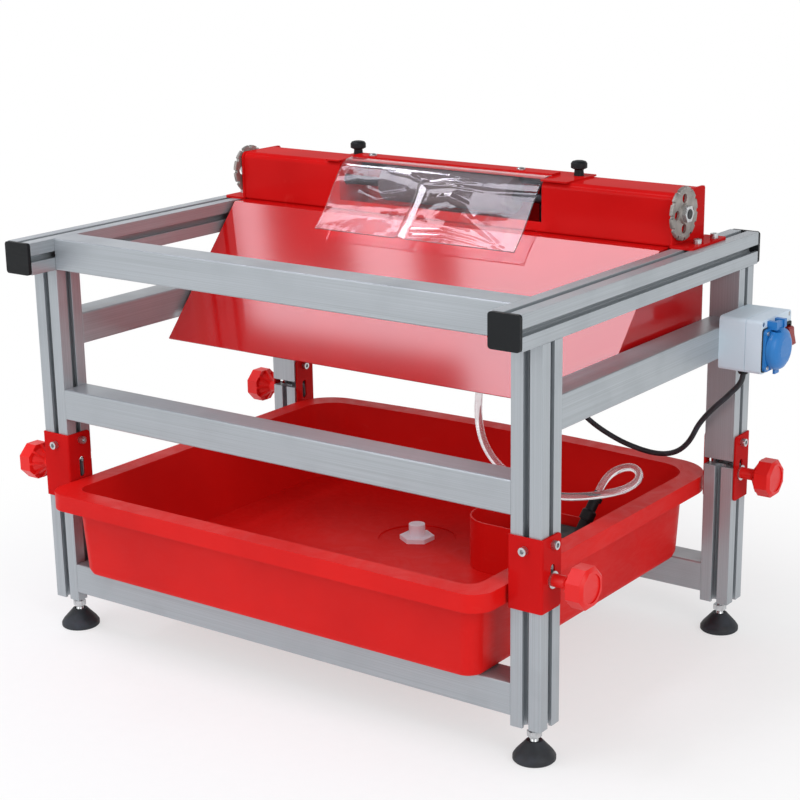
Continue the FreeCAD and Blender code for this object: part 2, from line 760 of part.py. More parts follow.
RIBS = 8
for side, sign in SIDES:
    for place, mid_y in (("front", front_mid), ("rear", rear_mid)):
        tag = place + "_" + side
        turn = None if sign > 0 else FreeCAD.Rotation(FreeCAD.Vector(0, 0, 1), 180)
        knob = body("knob_" + tag, sign * knob_seat, mid_y, stud_z, turn)
        bore = stud_d / 2 + 0.05
        back = knob_stem_l + knob_back_l
        whole = back + knob_head_l
        turned(
            "knob_core_" + tag,
            "X",
            [
                (0, bore),
                (knob_stem_l + 1, bore),
                (knob_stem_l + 1, 0),
                (whole - 4, 0),
                (whole - 4, knob_d / 2 - 11),
                (back, knob_d / 2 - 7),
                (knob_stem_l, knob_stem_d / 2 + 2),
                (knob_stem_l - 2, knob_stem_d / 2),
                (0, knob_stem_d / 2),
            ],
            knob,
        )
        made = sketch(knob, "knob_grip_" + tag, "YZ_Plane", back)
        flat = knob_d / 2 * math.cos(math.pi / RIBS)
        half_side = knob_d / 2 * math.sin(math.pi / RIBS)
        outline(
            made,
            [
                (flat, -half_side),
                (flat, half_side),
                (half_side, flat),
                (-half_side, flat),
                (-flat, half_side),
                (-flat, -half_side),
                (-half_side, -flat),
                (half_side, -flat),
            ],
        )
        grip = knob.newObject("PartDesign::Pad", "knob_pad_" + tag)
        grip.Profile = made
        bind(grip, "Length", knob_head_l)
        rib = sketch(knob, "knob_rib_" + tag, "XY_Plane", -(rib_t / 2))
        outline(
            rib,
            [
                (knob_stem_l - 2, knob_stem_d / 2 - 1),
                (back + 1, knob_stem_d / 2 - 1),
                (back + 1, knob_d / 2 - 2),
                (back - 1, knob_d / 2 - 2),
            ],
        )
        fin = knob.newObject("PartDesign::Pad", "knob_fin_" + tag)
        fin.Profile = rib
        bind(fin, "Length", rib_t)
        fan = knob.newObject("PartDesign::PolarPattern", "knob_fan_" + tag)
        fan.Originals = [fin]
        fan.Axis = (plane(knob, "X_Axis"), [""])
        fan.Angle = 360
        fan.Occurrences = RIBS
        knob.Tip = fan
        DOC.recompute()
        bevel = knob.newObject("PartDesign::Chamfer", "knob_bevel_" + tag)
        bevel.Base = (fan, [farthest(fan, FreeCAD.Vector(1, 0, 0))])
        bind(bevel, "Size", knob_bevel)
        knob.Tip = bevel
        dish_ring = sketch(knob, "knob_dish_" + tag, "YZ_Plane", whole)
        ring(dish_ring, as_size(0), as_size(0), knob_d / 2 - knob_rim)
        dished = knob.newObject("PartDesign::Pocket", "knob_dished_" + tag)
        dished.Profile = dish_ring
        bind(dished, "Length", knob_dish)
        knob.Tip = dished
        node("clamp_knob_" + tag, knob)

# Feet
spindles = []
for side, sign in SIDES:
    for place, mid_y in (("front", front_mid), ("rear", rear_mid)):
        tag = place + "_" + side
        leg_x = sign * leg_mid
        pad = body("pad_" + tag, leg_x, mid_y, 0)
        cup = ball_d / 2 + 0.4
        ball_z = foot_h - ball_in
        turned(
            "pad_form_" + tag,
            "Z",
            [
                (0, 0),
                (0, foot_d / 2 - 1.5),
                (1.5, foot_d / 2),
                (5.5, foot_d / 2),
                (foot_h * 0.42, foot_d * 0.44),
                (foot_h * 0.72, foot_d * 0.31),
                (foot_h, foot_d * 0.19),
                (foot_h, cup),
                (ball_z - ball_d / 2, cup),
                (ball_z - ball_d / 2, 0),
            ],
            pad,
        )
        node("foot_pad_" + tag, pad)
        stem = rod(
            "spindle_stem_" + tag, "Z", ball_z, leg_bottom + profile, leg_x, mid_y, spindle_d / 2
        )
        ball = body("ball_" + tag, leg_x, mid_y, ball_z)
        turned(
            "ball_form_" + tag,
            "Z",
            [
                (ball_d * -0.49, 0),
                (ball_d * -0.49, ball_d * 0.1),
                (ball_d * -0.35, ball_d * 0.35),
                (0, ball_d / 2),
                (ball_d * 0.35, ball_d * 0.35),
                (ball_d * 0.45, 0),
            ],
            ball,
        )
        apothem = nut_wide / 2
        tip = apothem * (2 / math.sqrt(3))
        hexagon = [
            (leg_x + apothem, mid_y - tip / 2),
            (leg_x + apothem, mid_y + tip / 2),
            (leg_x, mid_y + tip),
            (leg_x - apothem, mid_y + tip / 2),
            (leg_x - apothem, mid_y - tip / 2),
            (leg_x, mid_y - tip),
        ]
        nut_low = foot_h + nut_rise
        nut = prism("spindle_nut_" + tag, "Z", nut_low, nut_low + nut_h, [hexagon])
        spindles.append(fuse("spindle_" + tag, [stem, ball, nut]))
node("foot_spindles", group("spindles", spindles))


# Tub
def tub_outline(made, inset):
    """Plan of the tub, inset from the edge of its rim, with a bowed rear wall."""
    inset = as_size(inset)
    half = tub_half - inset
    front = tub_front + inset
    r_front = corner_f - inset * 0.3
    r_rear = corner_r - inset * 0.5
    bow = bow_r - inset
    bow_y = tub_rear - bow_r
    arm = half - r_rear
    reach = bow - r_rear
    rise = square_root(reach * reach - arm * arm)
    corner_y = bow_y + rise
    touch_x = arm * bow / reach
    touch_y = bow_y + rise * bow / reach
    c_left = -half + r_front
    c_right = half - r_front
    c_y = front + r_front
    points = [
        (c_left, front, None),
        (c_right, front, (r_front, (c_right.value, c_y.value), True)),
        (half, c_y, None),
        (half, corner_y, (r_rear, (arm.value, corner_y.value), True)),
        (touch_x, touch_y, (bow, (0.0, bow_y.value), True)),
        (-touch_x, touch_y, (r_rear, (-arm.value, corner_y.value), True)),
        (-half, corner_y, None),
        (-half, c_y, (r_front, (c_left.value, c_y.value), True)),
    ]
    draw(made, points)


tub = body("tub_body")
foot_plan = sketch(tub, "tub_foot", "XY_Plane", tub_bottom)
tub_outline(foot_plan, rim_wide + tub_draft + tub_round * 0.9)
bend_plan = sketch(tub, "tub_bend", "XY_Plane", tub_bottom + tub_round * 0.3)
tub_outline(bend_plan, rim_wide + tub_draft + tub_round * 0.3)
rise_plan = sketch(tub, "tub_rise", "XY_Plane", tub_bottom + tub_round)
tub_outline(rise_plan, rim_wide + tub_draft)
wall_plan = sketch(tub, "tub_wall_top", "XY_Plane", tub_top)
tub_outline(wall_plan, rim_wide)
shell = tub.newObject("PartDesign::AdditiveLoft", "tub_shell")
shell.Profile = foot_plan
shell.Sections = [bend_plan, rise_plan, wall_plan]
shell.Ruled = True
rim_plan = sketch(tub, "tub_rim", "XY_Plane", tub_top - rim_drop)
tub_outline(rim_plan, 0)
rim = tub.newObject("PartDesign::Pad", "tub_rim_pad")
rim.Profile = rim_plan
bind(rim, "Length", rim_drop)
under_plan = sketch(tub, "tub_under_rim", "XY_Plane", tub_top - rim_drop)
tub_outline(under_plan, tub_wall)
tub_outline(under_plan, rim_wide)
under = tub.newObject("PartDesign::Pocket", "tub_under_pocket")
under.Profile = under_plan
bind(under, "Length", rim_drop - tub_wall)
under.Reversed = True
floor_plan = sketch(tub, "tub_floor_plan", "XY_Plane", tub_inside)
tub_outline(floor_plan, rim_wide + tub_draft + tub_wall)
mouth_plan = sketch(tub, "tub_mouth", "XY_Plane", tub_top + 0.5)
tub_outline(mouth_plan, rim_wide + tub_wall)
inside = tub.newObject("PartDesign::SubtractiveLoft", "tub_inside")
inside.Profile = floor_plan
inside.Sections = [mouth_plan]
inside.Ruled = True
dish_plan = sketch(tub, "tub_dish", "XY_Plane", tub_inside)
ring(dish_plan, drain_x, drain_y, drain_d / 2)
dish = tub.newObject("PartDesign::Pocket", "tub_dish_pocket")
dish.Profile = dish_plan
bind(dish, "Length", dish_d)
drain_plan = sketch(tub, "tub_drain", "XY_Plane", tub_inside)
ring(drain_plan, drain_x, drain_y, drain_hole / 2 + 0.1)
drain = tub.newObject("PartDesign::Pocket", "tub_drain_pocket")
drain.Profile = drain_plan
bind(drain, "Length", tub_floor + 1)
node("tub", tub)

# Drain plug
dish_z = tub_inside - dish_d
plug_tip = plug_flat * (2 / math.sqrt(3))
plug_hex = [
    (drain_x + plug_flat, drain_y - plug_tip / 2),
    (drain_x + plug_flat, drain_y + plug_tip / 2),
    (drain_x, drain_y + plug_tip),
    (drain_x - plug_flat, drain_y + plug_tip / 2),
    (drain_x - plug_flat, drain_y - plug_tip / 2),
    (drain_x, drain_y - plug_tip),
]
cap_z = dish_z + plug_base_h
plug_parts = [
    prism("plug_flange", "Z", dish_z, cap_z, [plug_hex]),
    rod("plug_cap", "Z", cap_z, cap_z + plug_cap_h, drain_x, drain_y, plug_cap_d / 2),
    rod("plug_stem", "Z", tub_bottom - plug_tail, dish_z, drain_x, drain_y, drain_hole / 2),
]
node("drain_plug", fuse("plug", plug_parts))


# Pump pot, pump and outlet
def pot_plan(inset):
    half_l = pot_l / 2 - inset
    half_w = pot_w / 2 - inset
    return rectangle(
        (pot_x - half_l, pot_x + half_l),
        (pot_y - half_w, pot_y + half_w),
        half_w - 0.05,
    )


pot = prism("pot_body", "Z", tub_inside, tub_inside + pot_h, [pot_plan(0)])
well_plan = sketch(pot, "pot_well", "XY_Plane", tub_inside + pot_h)
outline(well_plan, pot_plan(pot_wall))
well = pot.newObject("PartDesign::Pocket", "pot_well_pocket")
well.Profile = well_plan
bind(well, "Length", pot_h - pot_floor)
node("pump_pot", pot)

pump_z = tub_inside + pot_floor
pump_top = pump_z + pump_h
pump_mid = pot_x + pump_x
pump_plan = rectangle(
    (pump_mid - pump_l / 2, pump_mid + pump_l / 2),
    (pot_y - pump_w / 2, pot_y + pump_w / 2),
    pump_round,
)
node("pump_body", prism("pump", "Z", pump_z, pump_top, [pump_plan]))

outlet_base = (pot_x + outlet_x, pot_y + outlet_y, pump_top)
OUTLET_RUN = (10, 29, 49)
outlet_lean = FreeCAD.Rotation(FreeCAD.Vector(0, 0, 1), FreeCAD.Vector(*OUTLET_RUN))
outlet = body("outlet_raw", outlet_base[0], outlet_base[1], outlet_base[2], outlet_lean)
turned(
    "outlet_form",
    "Z",
    [
        (-8, 0),
        (-8, 7),
        (18, 7),
        (18, 9.5),
        (30, 9.5),
        (32, 7),
        (44, 7),
        (44, 9),
        (50, 9),
        (52, 5.5),
        (57.8, 5.5),
        (57.8, 0),
    ],
    outlet,
)
trim = box(
    "outlet_trim",
    (pot_x, pot_x + pot_l),
    (pot_y - pot_w, pot_y + pot_w),
    (pump_z, pump_top),
)
node("pump_outlet", cut("outlet", outlet, [trim]))

# Beam: a sheet box with a bulkhead on each side of the wheel opening
inner_y = (beam_front + beam_t, beam_back - beam_t)
inner_z = (rail_top + beam_t, beam_top - beam_t)
beam_round = [
    (beam_front, rail_top, as_size(3)),
    (beam_back, rail_top, as_size(3)),
    (beam_back, beam_top, as_size(3)),
    (beam_front, beam_top, as_size(9)),
]
beam_core = [
    (inner_y[0], inner_z[0]),
    (inner_y[1], inner_z[0]),
    (inner_y[1], inner_z[1]),
    (inner_y[0], inner_z[1], as_size(7)),
]
tube = prism("beam_tube", "X", -beam_half, beam_half, [beam_round, beam_core])
walls = [tube]
for side, near in (("left", -open_left - beam_t), ("right", open_right)):
    walls.append(
        prism(
            "bulkhead_" + side,
            "X",
            near,
            near + beam_t,
            [beam_core],
            [(axis_y, axis_z, shaft_d / 2 + 2)],
        )
    )
window = box(
    "beam_window",
    (-open_left, open_right),
    (beam_front - 5, open_back),
    (rail_top + lip_h, beam_top + 5),
)
nozzle_hole = rod(
    "beam_nozzle_hole", "Z", rail_top - 5, rail_top + 10, nozzle_x, nozzle_y, nozzle_d / 2 + hole_room
)
tools = [window, nozzle_hole]
for side, sign in SIDES:
    tools.append(
        rod(
            "beam_knob_hole_" + side,
            "Z",
            beam_top - 6,
            beam_top + 6,
            sign * cover_knob_x,
            cover_knob_y,
            3.3,
        )
    )
tools.append(rod("beam_gland_hole", "Z", rail_top - 5, rail_top + 10, gland_x, gland_y, 6))
node("beam_housing", cut("beam", fuse("beam_walls", walls), tools))

# End plates with feet on the side rails
for side, sign in SIDES:
    inner = sign * beam_half
    outer = sign * (beam_half + plate_t)
    low = inner if sign > 0 else outer
    upright = [
        (beam_front - plate_front, rail_top),
        (beam_back + plate_back, rail_top),
        (beam_back + plate_back, beam_top, as_size(4)),
        (beam_front - plate_front, beam_top, as_size(9)),
    ]
    plate = prism(
        "upright_" + side,
        "X",
        low,
        low + plate_t,
        [upright],
        [(axis_y, axis_z, shaft_d / 2 + 4)],
    )
    edge = sign * (half_out - foot_edge)
    span = (inner, edge) if sign > 0 else (edge, inner)
    foot_plan = rectangle(span, (beam_front - foot_front, beam_back + foot_back), as_size(5))
    hole_x = sign * (leg_mid - 1)
    foot = prism(
        "beam_foot_" + side,
        "Z",
        rail_top,
        rail_top + plate_t,
        [foot_plan],
        [
            (hole_x, beam_front + 24, screw_hole),
            (hole_x, beam_back + 2, screw_hole),
        ],
    )
    node("beam_end_plate_" + side, fuse("end_plate_" + side, [plate, foot]))
    for tag, hole_y in (("a", beam_front + 24), ("b", beam_back + 2)):
        screws.append(
            cap_screw(
                "foot_screw_%s_%s" % (side, tag),
                "Z",
                rail_top + plate_t,
                1,
                hole_x,
                hole_y,
                plate_t + screw_grip,
            )
        )
# Bearings, shaft, wheel, end discs and nuts
bearings = []
for side, sign in SIDES:
    turn = None if sign > 0 else FreeCAD.Rotation(FreeCAD.Vector(0, 0, 1), 180)
    race = body("bearing_" + side, sign * beam_half, axis_y, axis_z, turn)
    fit = shaft_d / 2 + 0.05
    turned(
        "race_" + side,
        "X",
        [
            (-9, fit),
            (plate_t, fit),
            (plate_t, shaft_d / 2 + 3.95),
            (0, shaft_d / 2 + 3.95),
            (0, shaft_d / 2 + 10),
            (-9, shaft_d / 2 + 10),
        ],
        race,
    )
    bearings.append(race)
node("shaft_bearings", group("bearings", bearings))

shaft_end = disc_x + disc_t + 7
node(
    "drive_shaft",
    group(
        "shaft",
        [rod("shaft_rod", "X", -shaft_end, shaft_end, axis_y, axis_z, shaft_d / 2)],
    ),
)
wheel = rod("wheel_round", "X", -wheel_half, wheel_half, axis_y, axis_z, wheel_d / 2)
wheel_bore = rod(
    "wheel_bore",
    "X",
    -wheel_half - 1,
    wheel_half + 1,
    axis_y,
    axis_z,
    shaft_d / 2 + 0.02,
)
node("grinding_wheel", cut("wheel", wheel, [wheel_bore]))

LOBES = 12
POCKETS = 4
nuts = []
for side, sign in SIDES:
    turn = None if sign > 0 else FreeCAD.Rotation(FreeCAD.Vector(0, 0, 1), 180)
    disc = body("disc_" + side, sign * disc_x, axis_y, axis_z, turn)
    edge = disc_d / 2
    hub = shaft_d / 2 + disc_hub
    bore = shaft_d / 2 + 0.02
    turned(
        "disc_form_" + side,
        "X",
        [
            (0, bore),
            (disc_t + 1.5, bore),
            (disc_t + 1.5, hub),
            (disc_t - 1, hub + 1),
            (disc_t - 1, edge - 7),
            (disc_t, edge - 5),
            (disc_t, edge - 1),
            (disc_t - 1, edge),
            (1, edge),
            (0, edge - 1),
        ],
        disc,
    )
    bite = sketch(disc, "disc_bite_" + side, "YZ_Plane", disc_t + 3)
    ring(bite, edge - notch_in, 0, notch_r)
    notch = disc.newObject("PartDesign::Pocket", "disc_notch_" + side)
    notch.Profile = bite
    bind(notch, "Length", disc_t + 6)
    scallop = disc.newObject("PartDesign::PolarPattern", "disc_scallop_" + side)
    scallop.Originals = [notch]
    scallop.Axis = (plane(disc, "X_Axis"), [""])
    scallop.Angle = 360
    scallop.Occurrences = LOBES
    disc.Tip = scallop
    hole = sketch(disc, "disc_hole_" + side, "YZ_Plane", disc_t + 3)
    ring(hole, window_out, 0, window_d / 2)
    hollow_cut = disc.newObject("PartDesign::Pocket", "disc_pocket_" + side)
    hollow_cut.Profile = hole
    bind(hollow_cut, "Length", disc_t + 6)
    windows = disc.newObject("PartDesign::PolarPattern", "disc_windows_" + side)
    windows.Originals = [hollow_cut]
    windows.Axis = (plane(disc, "X_Axis"), [""])
    windows.Angle = 360
    windows.Occurrences = POCKETS
    disc.Tip = windows
    node("end_disc_" + side, disc)
    tip = as_size(9.5) * (2 / math.sqrt(3))
    nut_hex = [
        (axis_y + tip, axis_z),
        (axis_y + tip / 2, axis_z + 9.5),
        (axis_y - tip / 2, axis_z + 9.5),
        (axis_y - tip, axis_z),
        (axis_y - tip / 2, axis_z - 9.5),
        (axis_y + tip / 2, axis_z - 9.5),
    ]
    near = disc_x + disc_t + 1.5
    far = near + 5
    span = (near, far) if sign > 0 else (-far, -near)
    nuts.append(
        prism(
            "disc_nut_" + side,
            "X",
            span[0],
            span[1],
            [nut_hex],
            [(axis_y, axis_z, bore)],
        )
    )
node("disc_nuts", group("nuts", nuts))

# Motor in the right end of the beam
motor_round = rod("motor_round", "X", motor_near, motor_far, axis_y, axis_z, motor_d / 2)
motor_saddle = box(
    "motor_saddle",
    (motor_near + saddle_in, motor_far - saddle_in),
    (axis_y - saddle_half, axis_y + saddle_half),
    (rail_top + beam_t, axis_z - 10),
)
motor_bore = rod(
    "motor_bore",
    "X",
    motor_near - 5,
    motor_far + 5,
    axis_y,
    axis_z,
    shaft_d / 2 + 0.4,
)
node(
    "motor_body",
    cut("motor", fuse("motor_solid", [motor_round, motor_saddle]), [motor_bore]),
)

# Water nozzle: a riser through the beam floor and a spray pipe behind the wheel
spray_z = axis_z + spray_rise
riser = rod(
    "nozzle_riser", "Z", rail_top - nozzle_drop, spray_z, nozzle_x, nozzle_y, nozzle_d / 2
)
spray = rod(
    "nozzle_spray", "X", -open_left, nozzle_x + nozzle_d / 2, nozzle_y, spray_z, nozzle_d / 2
)
collar = rod(
    "nozzle_collar", "Z", rail_top - collar_h, rail_top, nozzle_x, nozzle_y, collar_d / 2
)
node("water_nozzle", fuse("nozzle", [riser, spray, collar]))

# Top cover, clamp bar, its screws and the two cover knobs
ear_y = beam_front - 3
cover_back = beam_back + 6
cover_plan = [
    (-cover_half, ear_y, as_size(3)),
    (-open_left + 1, ear_y, as_size(3)),
    (-open_left + 1, open_back),
    (open_right - 1, open_back),
    (open_right - 1, ear_y, as_size(3)),
    (cover_half, ear_y, as_size(3)),
    (cover_half, cover_back, as_size(3)),
    (-cover_half, cover_back, as_size(3)),
]
cover_rings = []
for side, sign in SIDES:
    cover_rings.append((sign * cover_knob_x, cover_knob_y, 3.3))
node("top_cover", prism("cover", "Z", beam_top, cover_top, [cover_plan], cover_rings))

bar_front = open_back + 3
bar_back = bar_front + 21.5
bar_low = cover_top
bar_top = bar_low + 3
bar_plan = rectangle((film_left - 2, film_right), (bar_front, bar_back), as_size(1.5))
node("flap_clamp_bar", prism("clamp_bar", "Z", bar_low, bar_top, [bar_plan]))
clamp_screws = []
for tag, screw_x in (("left", film_left + 25), ("right", film_right - 53)):
    head = body("bar_screw_" + tag, screw_x, bar_front + 10.5, bar_top)
    turned(
        "bar_screw_form_" + tag,
        "Z",
        [(0, 0), (0, 5.5), (1.4, 5.5), (2.6, 4.2), (3.2, 2.2), (3.2, 0)],
        head,
    )
    clamp_screws.append(head)
node("flap_clamp_screws", group("bar_screws", clamp_screws))

for side, sign in SIDES:
    button = body("button_" + side, sign * cover_knob_x, cover_knob_y, cover_top)
    wide = cover_knob_d / 2
    turned(
        "button_form_" + side,
        "Z",
        [
            (-18, 0),
            (-18, 3),
            (0, 3),
            (0, wide * 0.62),
            (cover_knob_h * 0.4, wide * 0.55),
            (cover_knob_h * 0.52, wide),
            (cover_knob_h * 0.82, wide),
            (cover_knob_h * 0.95, wide * 0.82),
            (cover_knob_h, wide * 0.5),
            (cover_knob_h, 0),
        ],
        button,
    )
    node("cover_knob_" + side, button)

# Clear flap in front of the wheel, hung from the clamp bar
film_run = [
    (2.2, 0.8),
    (-1.5, 0.8),
    (-11, -0.1),
    (-18.5, -3.2),
    (-25, -8.8),
    (-36.5, -23.6),
    (-47.5, -39.6),
    (-59.5, -56.6),
    (-72.5, -71.6),
    (-84.5, -83.6),
]


def film_band():
    """Closed band round the flap's run, half the film on each side of it."""
    half = film_t / 2
    above = []
    below = []
    count = len(film_run)
    for i, (y, z) in enumerate(film_run):
        before = film_run[max(i - 1, 0)]
        after = film_run[min(i + 1, count - 1)]
        dy = after[0] - before[0]
        dz = after[1] - before[1]
        length = math.hypot(dy, dz)
        ny = dz / length
        nz = -dy / length
        here_y = open_back + y
        here_z = cover_top + z
        above.append((here_y + half * ny, here_z + half * nz))
        below.append((here_y - half * ny, here_z - half * nz))
    return above + below[::-1]


node("splash_flap", prism("film", "X", film_left, film_right, [film_band()]))

# Splash plate: one flat sheet that turns level under the beam, with two cheeks
plate_top_z = rail_top
plate_rise = plate_top_z - splash_low_z
slope = 0.878
sheet_y = splash_t * 0.75
sheet_z = splash_t * 0.66
bend_y = splash_low_y + plate_rise * slope
under_y = splash_low_y + sheet_y
under_z = splash_low_z - sheet_z
under_bend = under_y + (plate_top_z - splash_t - under_z) * slope
splash_side = [
    (splash_low_y, splash_low_z),
    (under_y, under_z),
    (under_bend, plate_top_z - splash_t),
    (splash_back, plate_top_z - splash_t),
    (splash_back, plate_top_z),
    (bend_y, plate_top_z),
]
node("splash_plate", prism("splash", "X", -splash_half, splash_half, [splash_side]))
cheek_side = [
    (under_y + (cheek_low - under_z) * slope, cheek_low),
    (cheek_back, cheek_low),
    (cheek_back, plate_top_z - splash_t),
    (under_bend, plate_top_z - splash_t),
]
cheeks = []
for side, sign in SIDES:
    outer = sign * splash_half
    low = outer - splash_t if sign > 0 else outer
    cheeks.append(prism("cheek_" + side, "X", low, low + splash_t, [cheek_side]))
node("splash_cheeks", group("cheeks", cheeks))

# Socket box: back half, lid, socket, its lid, switch
box_span = ((box_y, box_y + box_w), (box_z, box_z + box_h))
core_span = (
    (box_y + box_wall, box_y + box_w - box_wall),
    (box_z + box_wall, box_z + box_h - box_wall),
)
split_x = half_out + box_d
seam_x = split_x - seam_w
seam_span = (
    (box_y + seam_in, box_y + box_w - seam_in),
    (box_z + seam_in, box_z + box_h - seam_in),
)
case_shell = prism("case_shell", "X", half_out, seam_x, [rectangle(*box_span, as_size(5))])
case_neck = prism("case_neck", "X", seam_x, split_x, [rectangle(*seam_span, as_size(5) - seam_in)])
case = fuse("case_raw", [case_shell, case_neck])
case_well = prism(
    "case_well",
    "X",
    half_out + box_wall,
    split_x + 1,
    [rectangle(*core_span, as_size(3))],
)
gland_box_x = half_out + box_gland_x
gland_box_y = box_y + box_gland_y
case_hole = rod("case_hole", "Z", box_z - 2, box_z + 6, gland_box_x, gland_box_y, 6)
node("socket_box_body", cut("case", case, [case_well, case_hole]))

lid = prism("lid_raw", "X", split_x, lid_face, [rectangle(*box_span, as_size(5))])
lid_well = prism(
    "lid_well",
    "X",
    split_x - 1,
    lid_face - box_wall,
    [rectangle(*core_span, as_size(3))],
)
throat = sock_w / 2 - 4
lid_round = rod(
    "lid_round", "X", split_x, lid_face + 2, sock_y, sock_z, throat + 0.2
)
sw_y = (switch_y - switch_w / 2 + 2, switch_y + switch_w / 2 - 2)
sw_z = (switch_z - switch_h / 2 + 2, switch_z + switch_h / 2 - 2)
lid_square = box("lid_square", (split_x, lid_face + 2), sw_y, sw_z)
lid_tools = [lid_well, lid_round, lid_square]
lid_corners = []
for tag, y, z in (
    ("a", box_y + lid_screw_in, box_z + lid_screw_in),
    ("b", box_y + lid_screw_in, box_z + box_h - lid_screw_in),
    ("c", box_y + box_w - lid_screw_in, box_z + lid_screw_in),
    ("d", box_y + box_w - lid_screw_in, box_z + box_h - lid_screw_in),
):
    sunk = lid_face - lid_sink
    lid_tools.append(rod("lid_sink_" + tag, "X", sunk, lid_face + 2, y, z, lid_screw_d / 2 + hole_room))
    lid_corners.append((tag, y, z))
node("socket_box_lid", cut("lid", lid, lid_tools))

half_sock = sock_w / 2
flange = prism(
    "sock_flange",
    "X",
    lid_face,
    lid_face + sock_t,
    [
        rectangle(
            (sock_y - half_sock, sock_y + half_sock),
            (sock_z - half_sock, sock_z + half_sock),
            as_size(6),
        )
    ],
)
hinge_x = lid_face + sock_t + hinge_out
hinge_z = sock_z + half_sock + hinge_rise
tube_wall_x = rod("sock_tube", "X", lid_face - 20, lid_face, sock_y, sock_z, throat)
sock_well = rod(
    "sock_well", "X", lid_face - 17, lid_face + sock_t + 2, sock_y, sock_z, throat - 2
)
sock_parts = [flange, tube_wall_x]
ear_starts = (("a", -lug_half - ear_room - ear_w), ("b", lug_half + ear_room))
for tag, start in ear_starts:
    sock_parts.append(
        box(
            "sock_ear_" + tag,
            (lid_face, hinge_x + hinge_out),
            (sock_y + start, sock_y + start + ear_w),
            (hinge_z - ear_half, hinge_z + ear_half),
        )
    )
sock_tools = [sock_well]
for tag, step in (("a", -9.5), ("b", 9.5)):
    sock_tools.append(
        rod(
            "sock_pin_" + tag,
            "X",
            lid_face - 25,
            lid_face,
            sock_y + step,
            sock_z,
            2.5,
        )
    )
node("socket_base", cut("sock", fuse("sock_solid", sock_parts), sock_tools))


def slotted_screw(name, face, y, z):
    """A small screw head on a face of the socket box, with a driver slot."""
    top = face + screw_cap_h
    wide = lid_screw_d / 2
    head = rod(name + "_head", "X", face, top, y, z, wide)
    slot = box(
        name + "_slot", (top - screw_cap_h / 2, top + 1), (y - wide / 5, y + wide / 5), (z - wide, z + wide)
    )
    return cut(name, head, [slot])


for tag, y, z in lid_corners:
    screws.append(slotted_screw("lid_screw_" + tag, lid_face - lid_sink, y, z))
sock_arm = half_sock - sock_screw_in
for tag, arm_y, arm_z in (("a", -1, -1), ("b", -1, 1), ("c", 1, -1), ("d", 1, 1)):
    screws.append(
        slotted_screw(
            "sock_screw_" + tag, lid_face + sock_t, sock_y + arm_y * sock_arm, sock_z + arm_z * sock_arm
        )
    )
node("frame_screws", group("screws", screws))

flap_x = lid_face + sock_t
flap = body("flap_round", flap_x, sock_y, sock_z)
flap_r = flap_d / 2
turned(
    "flap_form",
    "X",
    [
        (0.4, flap_r - 3),
        (0.4, flap_r),
        (flap_h * 0.4, flap_r),
        (flap_h * 0.7, flap_r - 2.5),
        (flap_h * 0.9, flap_r - 7),
        (flap_h, flap_r - 12),
        (flap_h, 0),
        (flap_h - 2.5, 0),
        (flap_h - 2.5, flap_r - 13),
        (flap_h * 0.65, flap_r - 7),
    ],
    flap,
)
lug = box(
    "flap_lug",
    (flap_x + 1, flap_x + 6.5),
    (sock_y - lug_half, sock_y + lug_half),
    (sock_z + flap_r - 2.5, hinge_z + hinge_out),
)
tab = box(
    "flap_tab",
    (flap_x + 1, flap_x + 4),
    (sock_y - 6, sock_y + 6),
    (sock_z - flap_r - 5, sock_z - flap_r + 2),
)
ear_clear = []
for tag, start in ear_starts:
    ear_clear.append(
        box(
            "ear_clear_" + tag,
            (flap_x - 1, flap_x + flap_h + 1),
            (sock_y + start - ear_room, sock_y + start + ear_w + ear_room),
            (hinge_z - ear_half - 3, hinge_z + ear_half + 3),
        )
    )
node("socket_flap", cut("flap", fuse("flap_solid", [flap, lug, tab]), ear_clear))

frame_plan = rectangle(
    (switch_y - switch_w / 2, switch_y + switch_w / 2),
    (switch_z - switch_h / 2, switch_z + switch_h / 2),
    as_size(2),
)
bezel = prism("switch_bezel", "X", lid_face, lid_face + 2, [frame_plan])
shaft_in = box(
    "switch_case",
    (lid_face - 20, lid_face),
    (sw_y[0] + 0.2, sw_y[1] - 0.2),
    (sw_z[0] + 0.2, sw_z[1] - 0.2),
)
switch_room = box(
    "switch_room",
    (lid_face - 12, lid_face + 4),
    (sw_y[0] + 1.7, sw_y[1] - 1.7),
    (sw_z[0] + 1.2, sw_z[1] - 1.2),
)
node("switch_frame", cut("switch", fuse("switch_solid", [bezel, shaft_in]), [switch_room]))
rock = switch_h / 2 - 5
rocker_side = [
    (lid_face - 6, switch_z - 5),
    (lid_face - 1, switch_z - rock),
    (lid_face + 9, switch_z - rock + 0.1),
    (lid_face + 11, switch_z - rock + 2),
    (lid_face + 8.5, switch_z + 1),
    (lid_face + 7.5, switch_z + rock - 2),
    (lid_face + 5.5, switch_z + rock - 0.5),
    (lid_face - 4, switch_z + rock - 1),
    (lid_face - 7, switch_z + 5),
]
rocker = body("rocker_form")
rocker_plan = sketch(rocker, "rocker_side", "XZ_Plane", -(sw_y[1] - 2))
outline(rocker_plan, rocker_side)
rocker_pad = rocker.newObject("PartDesign::Pad", "rocker_pad")
rocker_pad.Profile = rocker_plan
bind(rocker_pad, "Length", sw_y[1] - sw_y[0] - 4)
node("switch_rocker", rocker)

